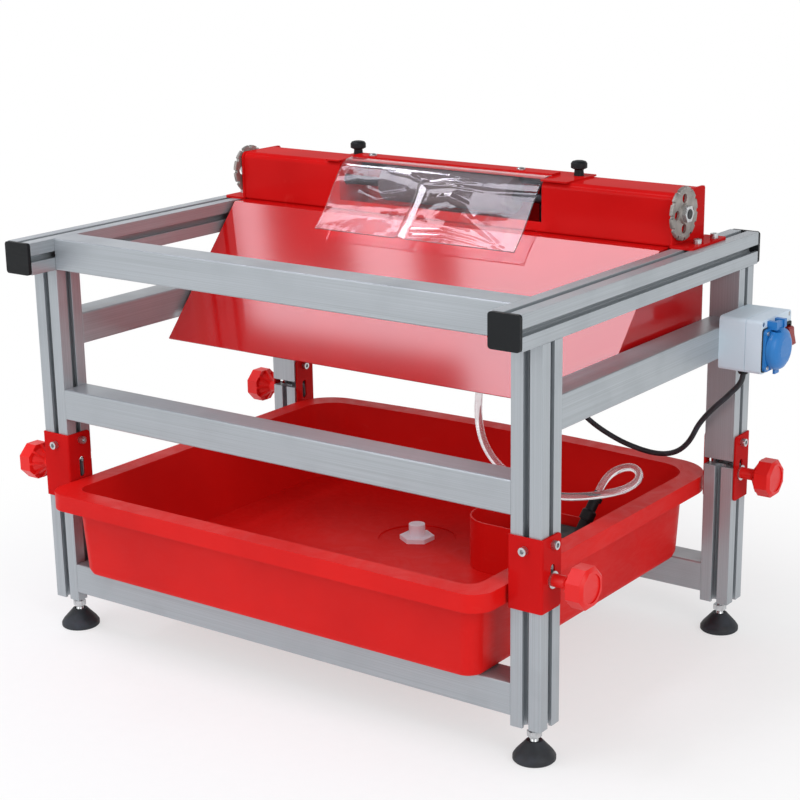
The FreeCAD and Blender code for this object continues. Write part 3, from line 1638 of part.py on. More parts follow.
# Cable glands under the box and under the beam
glands = []
for tag, x, y, z, drop in (
    ("box", gland_box_x, gland_box_y, box_z, box_gland_h),
    ("beam", gland_x, gland_y, rail_top, nozzle_drop),
):
    gland = body("gland_" + tag, x, y, z)
    turned(
        "gland_form_" + tag,
        "Z",
        [
            (-drop, 0),
            (-drop, 5.5),
            (drop * -0.8, 6.5),
            (drop * -0.45, 7),
            (drop * -0.45, 8.5),
            (0, 8.5),
            (0, 5.8),
            (1.9, 5.8),
            (1.9, 0),
        ],
        gland,
    )
    glands.append(gland)
node("cable_glands", group("gland_pair", glands))

# Cord routes in the modelling frame, from the piece where each one starts
CABLE_ROUTE = [
    (403, 478, 367),
    (402.5, 478, 360.5),
    (399, 478.5, 353.5),
    (394, 479, 347),
    (387.5, 480, 340.5),
    (379.5, 481.5, 332),
    (370, 483, 323),
    (360.5, 485, 314),
    (351, 487, 304),
    (343, 489, 294.5),
    (336, 491, 285),
    (330.5, 493, 275),
    (325, 495, 265.5),
    (318, 497.5, 256.5),
    (308.5, 501, 247.5),
    (297, 504.5, 240),
    (283, 508.5, 234.5),
    (267, 512, 231.5),
    (249, 515, 231),
    (230, 516, 233.5),
    (211.5, 515.5, 238),
    (194.5, 513.5, 245),
    (179, 509.5, 254),
    (165, 505.5, 264.5),
    (153, 501.5, 277.5),
    (143, 497.5, 293),
    (136.5, 493.5, 311.5),
    (134, 489.5, 332.5),
    (135.5, 485.5, 354.5),
    (140.5, 481.5, 377),
    (148.5, 477.5, 399),
    (158.5, 473.5, 420),
    (169.5, 469.5, 440),
    (180, 465.5, 458.5),
    (189, 461.5, 475.5),
    (196, 458.5, 491),
    (200, 456, 504.5),
    (200, 456, 514),
]
HOSE_ROUTE = [
    (120, 460, 514),
    (120, 460, 504),
    (119.6, 457, 491),
    (119, 449.5, 478.5),
    (118.2, 438.5, 467),
    (117.4, 424.5, 456),
    (116.9, 408.5, 445),
    (116.6, 391.5, 433.5),
    (116.6, 374.5, 421),
    (117, 358, 407.5),
    (118, 342.5, 393),
    (119.8, 328, 377.5),
    (122.5, 315, 360.5),
    (126, 303.5, 342),
    (130.5, 294.5, 322.5),
    (136.5, 288, 302.5),
    (145, 285, 283),
    (156.5, 286, 265.5),
    (171, 290.5, 250),
    (188, 297.5, 237),
    (202, 303, 229),
    (217, 309, 224),
    (232.5, 315.5, 221),
    (248, 322, 220.5),
    (263.5, 329, 222),
    (279, 336.5, 224.5),
    (294, 344, 228),
    (307, 354, 232),
    (313.5, 369, 236),
    (312, 385, 240.5),
    (302.5, 398.5, 244),
    (288, 407, 244.5),
    (272, 409, 239.5),
    (258.5, 404.5, 230.5),
    (251.5, 396, 217.5),
    (250, 391, 209),
]


def cord_path(points):
    """Straight runs joined by arcs that are as large as the runs allow."""
    route = [FreeCAD.Vector(*point) for point in points]
    edges = []
    radii = []
    start = route[0]
    for before, here, after in zip(route, route[1:], route[2:]):
        back = (before - here).normalize()
        ahead = (after - here).normalize()
        turn = math.pi - back.getAngle(ahead)
        shorter = min(before.distanceToPoint(here), here.distanceToPoint(after))
        reach = 0.45 * shorter
        radius = reach / math.tan(turn / 2)
        radii.append(radius)
        first = here + back * reach
        last = here + ahead * reach
        inward = (back + ahead).normalize()
        gap = radius / math.cos(turn / 2) - radius
        edges.append(Part.LineSegment(start, first).toShape())
        edges.append(Part.Arc(first, here + inward * gap, last).toShape())
        start = last
    edges.append(Part.LineSegment(start, route[-1]).toShape())
    return Part.Wire(edges), radii


def fitted(points, ends):
    """The route, stretched along each axis to run between its two ends."""
    spots = []
    for point in points:
        spot = []
        for k in range(3):
            start = ends[0][k].value
            share = (ends[1][k].value - start) / (points[-1][k] - points[0][k])
            spot.append(start + (point[k] - points[0][k]) * share)
        spots.append(spot)
    return spots


def cord(label, points, ends, diameter):
    """A round tube along a route between two ends, placed like every other piece."""
    path, radii = cord_path(fitted(points, ends))
    start = path.Edges[0]
    heading = start.tangentAt(start.FirstParameter)
    circle = Part.Circle(path.Vertexes[0].Point, heading, diameter / 2)
    profile_wire = Part.Wire([circle.toShape()])
    tube = path.makePipeShell([profile_wire], True, False)
    item = DOC.addObject("Part::Feature", label + "_tube")
    item.Shape = tube
    move = FreeCAD.Vector(shift_x.value, shift_y.value, 0)
    item.Placement = FreeCAD.Placement(move, FreeCAD.Rotation())
    expected = math.pi * diameter**2 / 4 * path.Length
    print(
        "%s length %.1f, smallest radius %.1f, volume %.0f of %.0f"
        % (label, path.Length, min(radii), tube.Volume, expected)
    )
    print(label, "radii", " ".join("%.0f" % radius for radius in radii))
    return node(label, item)


box_gland_end = (gland_box_x, gland_box_y, box_z - box_gland_h)
beam_gland_end = (gland_x, gland_y, rail_top - nozzle_drop)
cord("power_cable", CABLE_ROUTE, (box_gland_end, beam_gland_end), cable_d.value)
nozzle_end = (nozzle_x, nozzle_y, rail_top - nozzle_drop)
outlet_end = [base + run for base, run in zip(outlet_base, OUTLET_RUN)]
cord("water_hose", HOSE_ROUTE, (nozzle_end, outlet_end), hose_d.value)

DOC.recompute()

failed = []
for item in DOC.Objects:
    if "Invalid" in item.State or "Error" in item.State:
        failed.append(item.Name)
for item in NODES:
    if item.Shape.isNull() or not item.Shape.isValid() or not item.Shape.Solids:
        failed.append(item.Label)
if failed:
    raise RuntimeError("failed objects: " + ", ".join(failed))

os.makedirs("parts", exist_ok=True)
for item in NODES:
    item.Shape.exportStep("parts/%s.step" % item.Label)
print(len(NODES), "pieces written")
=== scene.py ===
import math

import bmesh
import bpy
from mathutils import Matrix, Vector, noise


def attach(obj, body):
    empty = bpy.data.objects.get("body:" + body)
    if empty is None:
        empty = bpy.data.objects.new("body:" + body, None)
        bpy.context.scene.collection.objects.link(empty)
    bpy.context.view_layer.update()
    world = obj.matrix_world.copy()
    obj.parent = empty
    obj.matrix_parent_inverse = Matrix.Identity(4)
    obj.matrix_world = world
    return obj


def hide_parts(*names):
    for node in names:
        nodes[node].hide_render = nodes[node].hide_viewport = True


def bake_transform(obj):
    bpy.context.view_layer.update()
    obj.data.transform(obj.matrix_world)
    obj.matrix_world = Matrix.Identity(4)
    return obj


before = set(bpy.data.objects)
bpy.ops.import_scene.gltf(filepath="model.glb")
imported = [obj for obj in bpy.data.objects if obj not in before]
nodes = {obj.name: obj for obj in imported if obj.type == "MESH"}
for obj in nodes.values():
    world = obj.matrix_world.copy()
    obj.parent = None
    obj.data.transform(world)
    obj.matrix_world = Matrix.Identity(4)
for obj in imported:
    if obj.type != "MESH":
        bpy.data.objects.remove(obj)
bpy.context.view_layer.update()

MM = 0.001
DRAWING_ORIGIN = Vector((-0.01195, -0.285, 0.0))
WHITE = (1.0, 1.0, 1.0, 1.0)
# Most of a noise texture's values lie between these two.
NOISE_LOW, NOISE_HIGH = 0.3, 0.7


def place(x, y, z):
    """A point of the drawing, in millimetres, as a point of the frame."""
    return Vector((x, y, z)) * MM + DRAWING_ORIGIN


def srgb(red, green, blue):
    """A colour as it is seen on a screen, from 0 to 255, as the shader's colour."""
    return tuple(((c / 255 + 0.055) / 1.055) ** 2.4 for c in (red, green, blue)) + (1.0,)


def mixed(a, b, share):
    """A colour that lies between two others."""
    return tuple(x + (y - x) * share for x, y in zip(a, b))


def clamped(share):
    return max(0.0, min(1.0, share))


def eased(share):
    """A share from 0 to 1 with a soft start and a soft end."""
    return share * share * (3 - 2 * share)


class Nodes:
    """A node tree. An input takes a number, a colour or another node's output."""

    def __init__(self, tree):
        self.tree = tree
        self.tree.nodes.clear()

    def add(self, kind, settings=(), **inputs):
        """A new node. An input's name has an underscore for each space."""
        made = self.tree.nodes.new("ShaderNode" + kind)
        for name, value in dict(settings).items():
            setattr(made, name, value)
        for name, value in inputs.items():
            self.wire(made.inputs[name.replace("_", " ")], value)
        return made

    def wire(self, socket, value):
        if isinstance(value, bpy.types.NodeSocket):
            self.tree.links.new(value, socket)
        else:
            socket.default_value = value

    def span(self, value, low=NOISE_LOW, high=NOISE_HIGH, to_low=0.0, to_high=1.0, kind="LINEAR"):
        """A value moved from one range to another."""
        return self.add("MapRange", {"interpolation_type": kind}, Value=value, From_Min=low,
                        From_Max=high, To_Min=to_low, To_Max=to_high).outputs[0]

    def sums(self, operation, a, b):
        made = self.add("Math", {"operation": operation})
        self.wire(made.inputs[0], a)
        self.wire(made.inputs[1], b)
        return made.outputs[0]

    def either(self, share, a, b):
        """Two shaders, mixed by a share."""
        made = self.add("MixShader", Fac=share)
        self.wire(made.inputs[1], a.outputs[0])
        self.wire(made.inputs[2], b.outputs[0])
        return made

    def seen(self):
        """1 for what the camera sees, straight, mirrored or through clear plastic."""
        path = self.add("LightPath").outputs
        straight = self.sums("MAXIMUM", path["Is Camera Ray"], path["Is Glossy Ray"])
        return self.sums("MAXIMUM", straight, path["Is Transmission Ray"])


class Paint(Nodes):
    """A material made of nodes, which follow the object's own coordinates."""

    def __init__(self, name):
        self.material = bpy.data.materials.new(name)
        self.material.use_nodes = True
        super().__init__(self.material.node_tree)
        self.spot = self.add("TexCoord").outputs["Object"]

    def stretched(self, x, y, z):
        """The surface's own place, with each axis scaled."""
        return self.add("Mapping", Vector=self.spot, Scale=(x, y, z)).outputs[0]

    def cloud(self, scale, detail=3.0, spot=None, distortion=0.0):
        return self.add("TexNoise", Vector=spot or self.spot, Scale=scale, Detail=detail,
                        Distortion=distortion).outputs[0]

    def cells(self, scale):
        return self.add("TexVoronoi", Vector=self.spot, Scale=scale).outputs["Distance"]

    def tint(self, share, a, b):
        return self.add("MixRGB", Fac=share, Color1=a, Color2=b).outputs[0]

    def bump(self, height, strength, distance):
        return self.add("Bump", Height=height, Strength=strength, Distance=distance).outputs[0]

    def shader(self, **inputs):
        return self.add("BsdfPrincipled", **inputs)

    def done(self, surface):
        self.add("OutputMaterial", Surface=surface.outputs[0])
        return self.material


def anodised(name, along):
    """Extruded aluminium, drawn along one axis, with a satin anodised skin."""
    p = Paint(name)
    run, across = 3.0, 900.0
    drawn = p.stretched(*[run if axis == along else across for axis in "xyz"])
    lines = p.cloud(scale=1.0, detail=4.0, spot=drawn)
    hand = p.cloud(scale=16.0, detail=5.0)
    colour = p.tint(p.span(lines), srgb(160, 166, 170), srgb(178, 184, 189))
    colour = p.tint(p.span(hand, 0.52, 0.75, to_high=0.25), colour, srgb(148, 153, 157))
    rough = p.sums("ADD", p.span(lines, to_low=0.30, to_high=0.40),
                   p.span(hand, 0.4, 0.75, to_high=0.12))
    return p.done(p.shader(Base_Color=colour, Metallic=0.5, Roughness=rough,
                           Normal=p.bump(lines, strength=0.08, distance=0.0004)))


def cast(name):
    """Die-cast and faced aluminium, with patches of tone and darker pores."""
    p = Paint(name)
    pores = p.cells(scale=1400.0)
    patch = p.cloud(scale=60.0, detail=5.0)
    colour = p.tint(p.span(patch, 0.35, 0.7), srgb(136, 132, 128), srgb(180, 175, 170))
    colour = p.tint(p.span(pores, 0.0, 0.18, to_low=0.55, to_high=0.0), colour, srgb(72, 70, 68))
    return p.done(p.shader(Base_Color=colour, Metallic=0.7,
                           Roughness=p.span(patch, to_low=0.46, to_high=0.62),
                           Normal=p.bump(pores, strength=0.3, distance=0.0005)))


def steel(name, light, dark, rough):
    """Plated screws and spindles, or dark steel: the shaft and the nozzle are dark as painted shade.
    """
    p = Paint(name)
    haze = p.cloud(scale=220.0, detail=5.0)
    return p.done(p.shader(Base_Color=p.tint(p.span(haze, 0.35, 0.7), light, dark), Metallic=0.95,
                           Roughness=p.span(haze, to_low=rough, to_high=rough + 0.15),
                           Normal=p.bump(haze, strength=0.05, distance=0.0003)))


def enamel(name, colour, shade, gloss, bend):
    """Baked enamel on sheet metal: a clear gloss over a faint orange peel, with a few dull rubs."""
    p = Paint(name)
    peel = p.cloud(scale=420.0, detail=2.0)
    wave = p.cloud(scale=9.0, detail=2.0)
    rubs = p.cloud(scale=30.0, detail=8.0, distortion=1.5)
    base = p.tint(p.span(wave), colour, shade)
    base = p.tint(p.span(rubs, 0.66, 0.8, to_high=0.12), base, srgb(222, 84, 76))
    skin = p.sums("ADD", p.sums("MULTIPLY", peel, 0.35), wave)
    return p.done(p.shader(Base_Color=base,
                           Roughness=p.span(rubs, 0.5, 0.8, to_low=0.34, to_high=0.5),
                           Specular_IOR_Level=0.0, Coat_Weight=gloss, Coat_IOR=bend,
                           Coat_Roughness=0.1, Normal=p.bump(skin, strength=0.06, distance=0.0012)))


def moulded(name, colour, shade, pale, rough, pebble, scuff, shine):
    """Moulded plastic: a fine eroded skin, a slow change of tone, and pale scuffs."""
    p = Paint(name)
    skin = p.cloud(scale=2600.0, detail=2.0)
    tone = p.cloud(scale=7.0)
    scratch = p.cloud(scale=22.0, detail=9.0, spot=p.stretched(1.0, 1.0, 3.0), distortion=2.5)
    base = p.tint(p.span(tone), colour, shade)
    base = p.tint(p.span(scratch, 0.62, 0.82, to_high=scuff), base, pale)
    return p.done(p.shader(Base_Color=base,
                           Roughness=p.span(scratch, 0.35, 0.75, to_low=rough, to_high=rough + 0.18),
                           Specular_IOR_Level=shine,
                           Normal=p.bump(skin, strength=pebble, distance=0.0003)))


def rubber(name):
    """Black rubber with a little pale dust."""
    p = Paint(name)
    skin = p.cloud(scale=1500.0)
    dust = p.cloud(scale=45.0, detail=6.0)
    colour = p.tint(p.span(dust, 0.45, 0.8, to_high=0.5), srgb(28, 31, 36), srgb(76, 82, 94))
    return p.done(p.shader(Base_Color=colour, Roughness=p.span(dust, to_low=0.5, to_high=0.72),
                           Normal=p.bump(skin, strength=0.2, distance=0.0003)))


def grit(name):
    """Bonded abrasive: dark and paler grains with open pores, all kept dark as painted shade of the
    housing's inside.
    """
    p = Paint(name)
    grain = p.cells(scale=1100.0)
    lump = p.cloud(scale=500.0, detail=5.0)
    # The grains' tones are partly the abrasive's own colour and partly darkened as painted shade.
    colour = p.tint(p.span(grain, 0.05, 0.5), srgb(40, 35, 35), srgb(88, 76, 75))
    colour = p.tint(p.span(lump, 0.5, 0.7, to_high=0.6), colour, srgb(112, 98, 95))
    return p.done(p.shader(Base_Color=colour, Roughness=0.85,
                           Normal=p.bump(grain, strength=0.7, distance=0.0006)))


def clear(name, colour, haze_colour, rough, haze, bend):
    """Clear soft plastic that lets light fall through, with a little haze in it."""
    p = Paint(name)
    dirt = p.cloud(scale=38.0, detail=6.0, distortion=1.0)
    ripple = p.cloud(scale=90.0, detail=2.0)
    body = p.shader(Base_Color=p.tint(p.span(dirt, 0.4, 0.7), colour, haze_colour),
                    Roughness=p.span(dirt, 0.4, 0.75, to_low=rough, to_high=rough + 0.08),
                    IOR=bend, Transmission_Weight=1.0,
                    Normal=p.bump(ripple, strength=0.05, distance=0.001))
    milk = p.shader(Base_Color=haze_colour, Roughness=0.35)
    share = p.span(dirt, 0.35, 0.75, to_low=haze * 0.6, to_high=haze * 1.4)
    cloudy = p.either(share, body, milk)
    passing = p.add("BsdfTransparent", Color=mixed(haze_colour, WHITE, 0.6))
    return p.done(p.either(p.add("LightPath").outputs["Is Shadow Ray"], cloudy, passing))


ENAMEL = enamel("red_enamel", srgb(206, 25, 25), srgb(193, 20, 20), gloss=0.12, bend=1.45)
GLOSS_ENAMEL = enamel("red_gloss_enamel", srgb(197, 15, 17), srgb(186, 12, 14), gloss=1.0, bend=1.8)
TUB_RED = moulded("red_tub_plastic", srgb(224, 24, 20), srgb(210, 18, 16), srgb(228, 96, 84),
                  rough=0.40, pebble=0.15, scuff=0.1, shine=0.16)
KNOB_RED = moulded("red_knob_plastic", srgb(236, 32, 29), srgb(222, 26, 24), srgb(236, 110, 100),
                   rough=0.3, pebble=0.06, scuff=0.1, shine=0.3)
ROCKER_RED = moulded("red_rocker_plastic", srgb(150, 16, 18), srgb(128, 12, 14), srgb(190, 90, 84),
                     rough=0.26, pebble=0.06, scuff=0.1, shine=0.4)
BLACK_PLASTIC = moulded("black_plastic", srgb(24, 27, 30), srgb(18, 20, 22), srgb(84, 84, 86),
                        rough=0.42, pebble=0.2, scuff=0.06, shine=0.2)
GREY_PLASTIC = moulded("grey_plastic", srgb(216, 230, 240), srgb(208, 223, 234), WHITE,
                       rough=0.46, pebble=0.14, scuff=0.1, shine=0.3)
BLUE_PLASTIC = moulded("blue_plastic", srgb(40, 126, 198), srgb(30, 112, 186), srgb(130, 180, 226),
                       rough=0.3, pebble=0.1, scuff=0.12, shine=0.4)
WHITE_PLASTIC = moulded("white_plastic", srgb(246, 246, 252), srgb(238, 238, 247), srgb(200, 192, 194),
                        rough=0.36, pebble=0.1, scuff=0.1, shine=0.5)
RUBBER = rubber("black_rubber")
CAST = cast("cast_aluminium")
ZINC = steel("zinc_steel", srgb(206, 208, 210), srgb(176, 178, 180), rough=0.22)
DARK_STEEL_AND_SHADE = steel("black_steel", srgb(62, 62, 64), srgb(40, 40, 42), rough=0.34)
GRIT_WITH_PAINTED_SHADE = grit("abrasive")
FILM = clear("clear_film", srgb(252, 251, 252), srgb(238, 238, 246), rough=0.03, haze=0.03, bend=1.5)
HOSE = clear("milky_hose", srgb(248, 244, 246), srgb(236, 228, 232), rough=0.06, haze=0.15, bend=1.46)
RAIL_X, RAIL_Y, RAIL_Z = (anodised("anodised_" + axis, axis) for axis in "xyz")

CORNERS = ("front_left", "rear_left", "front_right", "rear_right")


def corners(name):
    """The names of a piece that each leg has."""
    return [name + "_" + corner for corner in CORNERS]


def sides(name):
    """The names of a piece that each side has."""
    return [name + "_left", name + "_right"]


# Each look: its material, how far its hard edges are rounded, in millimetres, and its pieces.
LOOKS = (
    (RAIL_Y, 0.5, sides("side_rail") + ["side_rails_middle"]),
    (RAIL_Z, 0.5, sides("upper_legs") + sides("lower_legs")),
    (RAIL_X, 0.5, ["front_rail_top", "front_rail_middle", "lower_rail_front", "lower_rail_rear"]),
    (ENAMEL, 0.5, corners("leg_bracket") + ["beam_housing", "top_cover", "flap_clamp_bar"]
     + sides("beam_end_plate")),
    (GLOSS_ENAMEL, 0.3, ["splash_plate", "splash_cheeks"]),
    (TUB_RED, 0.8, ["tub", "pump_pot"]),
    (KNOB_RED, 0.6, corners("clamp_knob")),
    (ROCKER_RED, 0.4, ["switch_rocker"]),
    (BLACK_PLASTIC, 0.8, ["rail_end_caps"] + sides("cover_knob")),
    (BLACK_PLASTIC, 0.3, ["pump_body", "pump_outlet", "switch_frame", "cable_glands"]),
    (GREY_PLASTIC, 0.8, ["socket_box_body", "socket_box_lid"]),
    (BLUE_PLASTIC, 0.5, ["socket_base", "socket_flap"]),
    (WHITE_PLASTIC, 0.6, ["drain_plug"]),
    (RUBBER, 0.6, corners("foot_pad")),
    (CAST, 0.3, sides("end_disc") + ["shaft_bearings"]),
    (ZINC, 0.2, ["foot_spindles", "clamp_studs", "frame_screws", "disc_nuts", "flap_clamp_screws"]),
    # The shaft and the nozzle are dark as painted shade of the housing's inside.
    (DARK_STEEL_AND_SHADE, 0.3, ["motor_body", "drive_shaft", "water_nozzle"]),
    (GRIT_WITH_PAINTED_SHADE, 0.3, ["grinding_wheel"]),
)
# The brackets' flat faces are joined first, so that their rounded edges stay even.
FLATTENED = corners("leg_bracket")
FLAT_ANGLE = math.radians(0.6)
SHARP_ANGLE = math.radians(38)
WELD_REACH = 0.02 * MM
EDGE_STEPS = 2
FACE_WEIGHT = 80


def soften(piece, width):
    """Rounds a hard edge a little, as moulding, paint or a file leaves it."""
    weld = piece.modifiers.new("weld", "WELD")
    weld.merge_threshold = WELD_REACH
    if piece.name in FLATTENED:
        flat = piece.modifiers.new("flat", "DECIMATE")
        flat.decimate_type = "DISSOLVE"
        flat.angle_limit = FLAT_ANGLE
    bevel = piece.modifiers.new("bevel", "BEVEL")
    bevel.width = width * MM
    bevel.segments = EDGE_STEPS
    bevel.limit_method = "ANGLE"
    bevel.angle_limit = SHARP_ANGLE
    bevel.miter_outer = "MITER_ARC"
    shade = piece.modifiers.new("shade", "WEIGHTED_NORMAL")
    shade.weight = FACE_WEIGHT


def coat(piece, material):
    """Gives a piece one material all over."""
    piece.data.materials.clear()
    piece.data.materials.append(material)


for material, edge, names in LOOKS:
    for name in names:
        coat(nodes[name], material)
        soften(nodes[name], edge)

# Cords: the route's points, in millimetres of the drawing, are the spline's control points.
CABLE_DIAMETER = 7 * MM
CABLE_ROUND = 5
CABLE_ROUTE = [
    (403, 478, 367), (402.5, 478, 360.5), (399, 478.5, 353.5), (394, 479, 347), (387.5, 480, 340.5),
    (379.5, 481.5, 332), (370, 483, 323), (360.5, 485, 314), (351, 487, 304), (343, 489, 294.5),
    (336, 491, 285), (330.5, 493, 275), (325, 495, 265.5), (318, 497.5, 256.5), (308.5, 501, 247.5),
    (297, 504.5, 240), (283, 508.5, 234.5), (267, 512, 231.5), (249, 515, 231), (230, 516, 233.5),
    (211.5, 515.5, 238), (194.5, 513.5, 245), (179, 509.5, 254), (165, 505.5, 264.5),
    (153, 501.5, 277.5), (143, 497.5, 293), (136.5, 493.5, 311.5), (134, 489.5, 332.5),
    (135.5, 485.5, 354.5), (140.5, 481.5, 377), (148.5, 477.5, 399), (158.5, 473.5, 420),
    (169.5, 469.5, 440), (180, 465.5, 458.5), (189, 461.5, 475.5), (196, 458.5, 491),
    (200, 456, 504.5), (200, 456, 514)]
HOSE_DIAMETER = 10 * MM
HOSE_FACETS = 20
HOSE_ROUTE = [
    (120, 460, 514), (120, 460, 504), (119.6, 457, 491), (119, 449.5, 478.5), (118.2, 438.5, 467),
    (117.4, 424.5, 456), (116.9, 408.5, 445), (116.6, 391.5, 433.5), (116.6, 374.5, 421),
    (117, 358, 407.5), (118, 342.5, 393), (119.8, 328, 377.5), (122.5, 315, 360.5),
    (126, 303.5, 342), (130.5, 294.5, 322.5), (136.5, 288, 302.5), (145, 285, 283),
    (156.5, 286, 265.5), (171, 290.5, 250), (188, 297.5, 237), (202, 303, 229), (217, 309, 224),
    (232.5, 315.5, 221), (248, 322, 220.5), (263.5, 329, 222), (279, 336.5, 224.5), (294, 344, 228),
    (307, 354, 232), (313.5, 369, 236), (312, 385, 240.5), (302.5, 398.5, 244), (288, 407, 244.5),
    (272, 409, 239.5), (258.5, 404.5, 230.5), (251.5, 396, 217.5), (250, 391, 209)]
CORD_STEPS = 8
CORD_ORDER = 3


def added(name, data):
    """A new object in the scene."""
    made = bpy.data.objects.new(name, data)
    bpy.context.scene.collection.objects.link(made)
    return made


def finished(name, form):
    """A new object from a bmesh, with smooth faces."""
    bmesh.ops.recalc_face_normals(form, faces=form.faces)
    mesh = bpy.data.meshes.new(name)
    form.to_mesh(mesh)
    form.free()
    mesh.shade_smooth()
    return added(name, mesh)


def route_curve(name, route, steps=CORD_STEPS):
    """A smooth curve with the route's points as its control points."""
    data = bpy.data.curves.new(name, "CURVE")
    data.dimensions = "3D"
    data.resolution_u = steps
    spline = data.splines.new("NURBS")
    spline.points.add(len(route) - 1)
    for point, spot in zip(spline.points, route):
        point.co = (*place(*spot), 1.0)
    spline.order_u = CORD_ORDER
    spline.use_endpoint_u = True
    return added(name, data)


def line_of(curve):
    """The points that a curve with no bevel runs through."""
    bpy.context.view_layer.update()
    mesh = bpy.data.meshes.new_from_object(curve)
    points = [v.co.copy() for v in mesh.vertices]
    bpy.data.meshes.remove(mesh)
    return points


def length_of(points):
    return sum((b - a).length for a, b in zip(points, points[1:]))


def ahead_of(points, i):
    """The direction of a line of points at one of them."""
    return (points[min(i + 1, len(points) - 1)] - points[max(i - 1, 0)]).normalized()


def tube(name, points, radius, facets):
    """A round tube along a line of points, with no twist."""
    form = bmesh.new()
    rings = []
    across = Vector((1, 0, 0))
    turns = [2 * math.pi * k / facets for k in range(facets)]
    for i, point in enumerate(points):
        ahead = ahead_of(points, i)
        across = (across - ahead * across.dot(ahead)).normalized()
        beside = ahead.cross(across)
        rings.append([form.verts.new(point + radius * (across * math.cos(t) + beside * math.sin(t)))
                      for t in turns])
    for a, b in zip(rings, rings[1:]):
        for k in range(facets):
            n = (k + 1) % facets
            form.faces.new((a[k], a[n], b[n], b[k]))
    form.faces.new(reversed(rings[0]))
    form.faces.new(rings[-1])
    return finished(name, form)


cable = route_curve("mains_cable", CABLE_ROUTE)
cable_length = length_of(line_of(cable))
cable.data.bevel_depth = CABLE_DIAMETER / 2
cable.data.bevel_resolution = CABLE_ROUND
cable.data.use_fill_caps = True
coat(cable, RUBBER)
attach(cable, "upper_frame")
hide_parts("power_cable")

hose_guide = route_curve("hose_guide", HOSE_ROUTE)
hose_line = line_of(hose_guide)
bpy.data.objects.remove(hose_guide)
hose = tube("clear_hose", hose_line, HOSE_DIAMETER / 2, HOSE_FACETS)
coat(hose, HOSE)
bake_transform(hose)
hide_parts("water_hose")

# Clear film: its section hangs over the opening, and folds are pressed into it. A spot of the film is
# given by its place across the machine and its way down from the clamp bar, both in millimetres.
FILM_LEFT, FILM_RIGHT = -165.0, 150.0
FILM_START = (431.0, 597.0)
FILM_RUN = ((2.2, 0.8), (-1.5, 0.8), (-11, -0.1), (-18.5, -3.2), (-25, -8.8), (-36.5, -23.6),
            (-47.5, -39.6), (-59.5, -56.6), (-72.5, -71.6), (-84.5, -83.6))
FILM_STEPS = 24
FILM_ACROSS, FILM_DOWN = 210, 96
FILM_THICKNESS = 0.5
# The folds begin below the bar and reach their full height after a short way.
FOLDS_FROM, FOLDS_EASE = 14.0, 14.0
PLEAT_TOP, PLEAT_FOOT = (-25, 46), (-29, 126)
PLEAT_RISE, PLEAT_FALL, PLEAT_HEIGHT = 5.0, 11.0, 3.6
PLEAT_FADE = 8.0
# Ridges: the line that each follows, its width and its height.
RIDGES = (
    (((-20, 42), (10, 36), (60, 34)), 2.4, 0.7),
    (((-16, 45), (20, 42), (80, 46), (150, 42)), 3.0, 0.6),
    (((-30, 39), (-50, 33), (-84, 30)), 2.4, 0.6),
    (((-2, 62), (26, 58), (56, 68), (70, 82)), 4.0, 1.2),
    (((-50, 58), (-84, 64), (-108, 58)), 3.2, 0.5),
    (((-58, 66), (-90, 73), (-120, 65)), 3.2, 0.5),
    (((-16, 110), (30, 106), (80, 112), (130, 122)), 2.6, 0.6),
    (((-10, 118), (40, 114), (110, 122)), 2.4, 0.5),
    (((58, 84), (92, 100), (120, 116)), 3.4, 0.9),
)
# Swells: the middle of each, its reach both ways and its height.
SWELLS = (((62, 74), (60, 34), 4.0), ((-86, 82), (60, 30), -2.0))
# Ripples: their reach both ways, the slice of the noise and their height.
RIPPLES = ((30, 17, 0.4, 0.14), (9, 8, 3.1, 0.05))


def film_section():
    """Points along the film's section, equally far apart, and the step between them."""
    run = [(0, FILM_START[0] + y, FILM_START[1] + z) for y, z in FILM_RUN]
    guide = route_curve("film_guide", run, FILM_STEPS)
    points = line_of(guide)
    bpy.data.objects.remove(guide)
    step = length_of(points) / FILM_DOWN
    even, walked = [points[0]], 0.0
    for a, b in zip(points, points[1:]):
        stretch = (b - a).length
        while len(even) * step <= walked + stretch + 1e-9 and len(even) <= FILM_DOWN:
            even.append(a.lerp(b, (len(even) * step - walked) / stretch))
        walked += stretch
    return even, step / MM


def ridge(across, down, line, width, height):
    """How far a soft ridge along a line lifts a spot of the film."""
    spot = Vector((across, down))
    gaps = []
    for a, b in zip(line, line[1:]):
        a, b = Vector(a), Vector(b)
        share = clamped((spot - a).dot(b - a) / (b - a).length_squared)
        gaps.append((spot - a.lerp(b, share)).length)
    return height * math.exp(-((min(gaps) / width) ** 2))


def pleat(across, down):
    """The main fold, with a short steep left flank and a long even right one."""
    share = (down - PLEAT_TOP[1]) / (PLEAT_FOOT[1] - PLEAT_TOP[1])
    aside = across - PLEAT_TOP[0] - (PLEAT_FOOT[0] - PLEAT_TOP[0]) * share
    height = PLEAT_HEIGHT * clamped(1.0 + share * PLEAT_FADE)
    if aside < 0:
        return height * eased(max(0.0, 1.0 + aside / PLEAT_RISE))
    return height * max(0.0, 1.0 - aside / PLEAT_FALL)


def swell(across, down, centre, reach, height):
    """How far a wide, soft swell lifts a spot of the film."""
    x, y = ((across - centre[0]) / reach[0], (down - centre[1]) / reach[1])
    return height * math.exp(-(x * x + y * y))


def film_lift(across, down):
    """The film's folds, in millimetres off its plain section."""
    lift = pleat(across, down)
    for line, width, height in RIDGES:
        lift += ridge(across, down, line, width, height)
    for centre, reach, height in SWELLS:
        lift += swell(across, down, centre, reach, height)
    for wide, tall, part, height in RIPPLES:
        lift += noise.noise(Vector((across / wide, down / tall, part))) * height
    return lift * eased(clamped((down - FOLDS_FROM) / FOLDS_EASE))


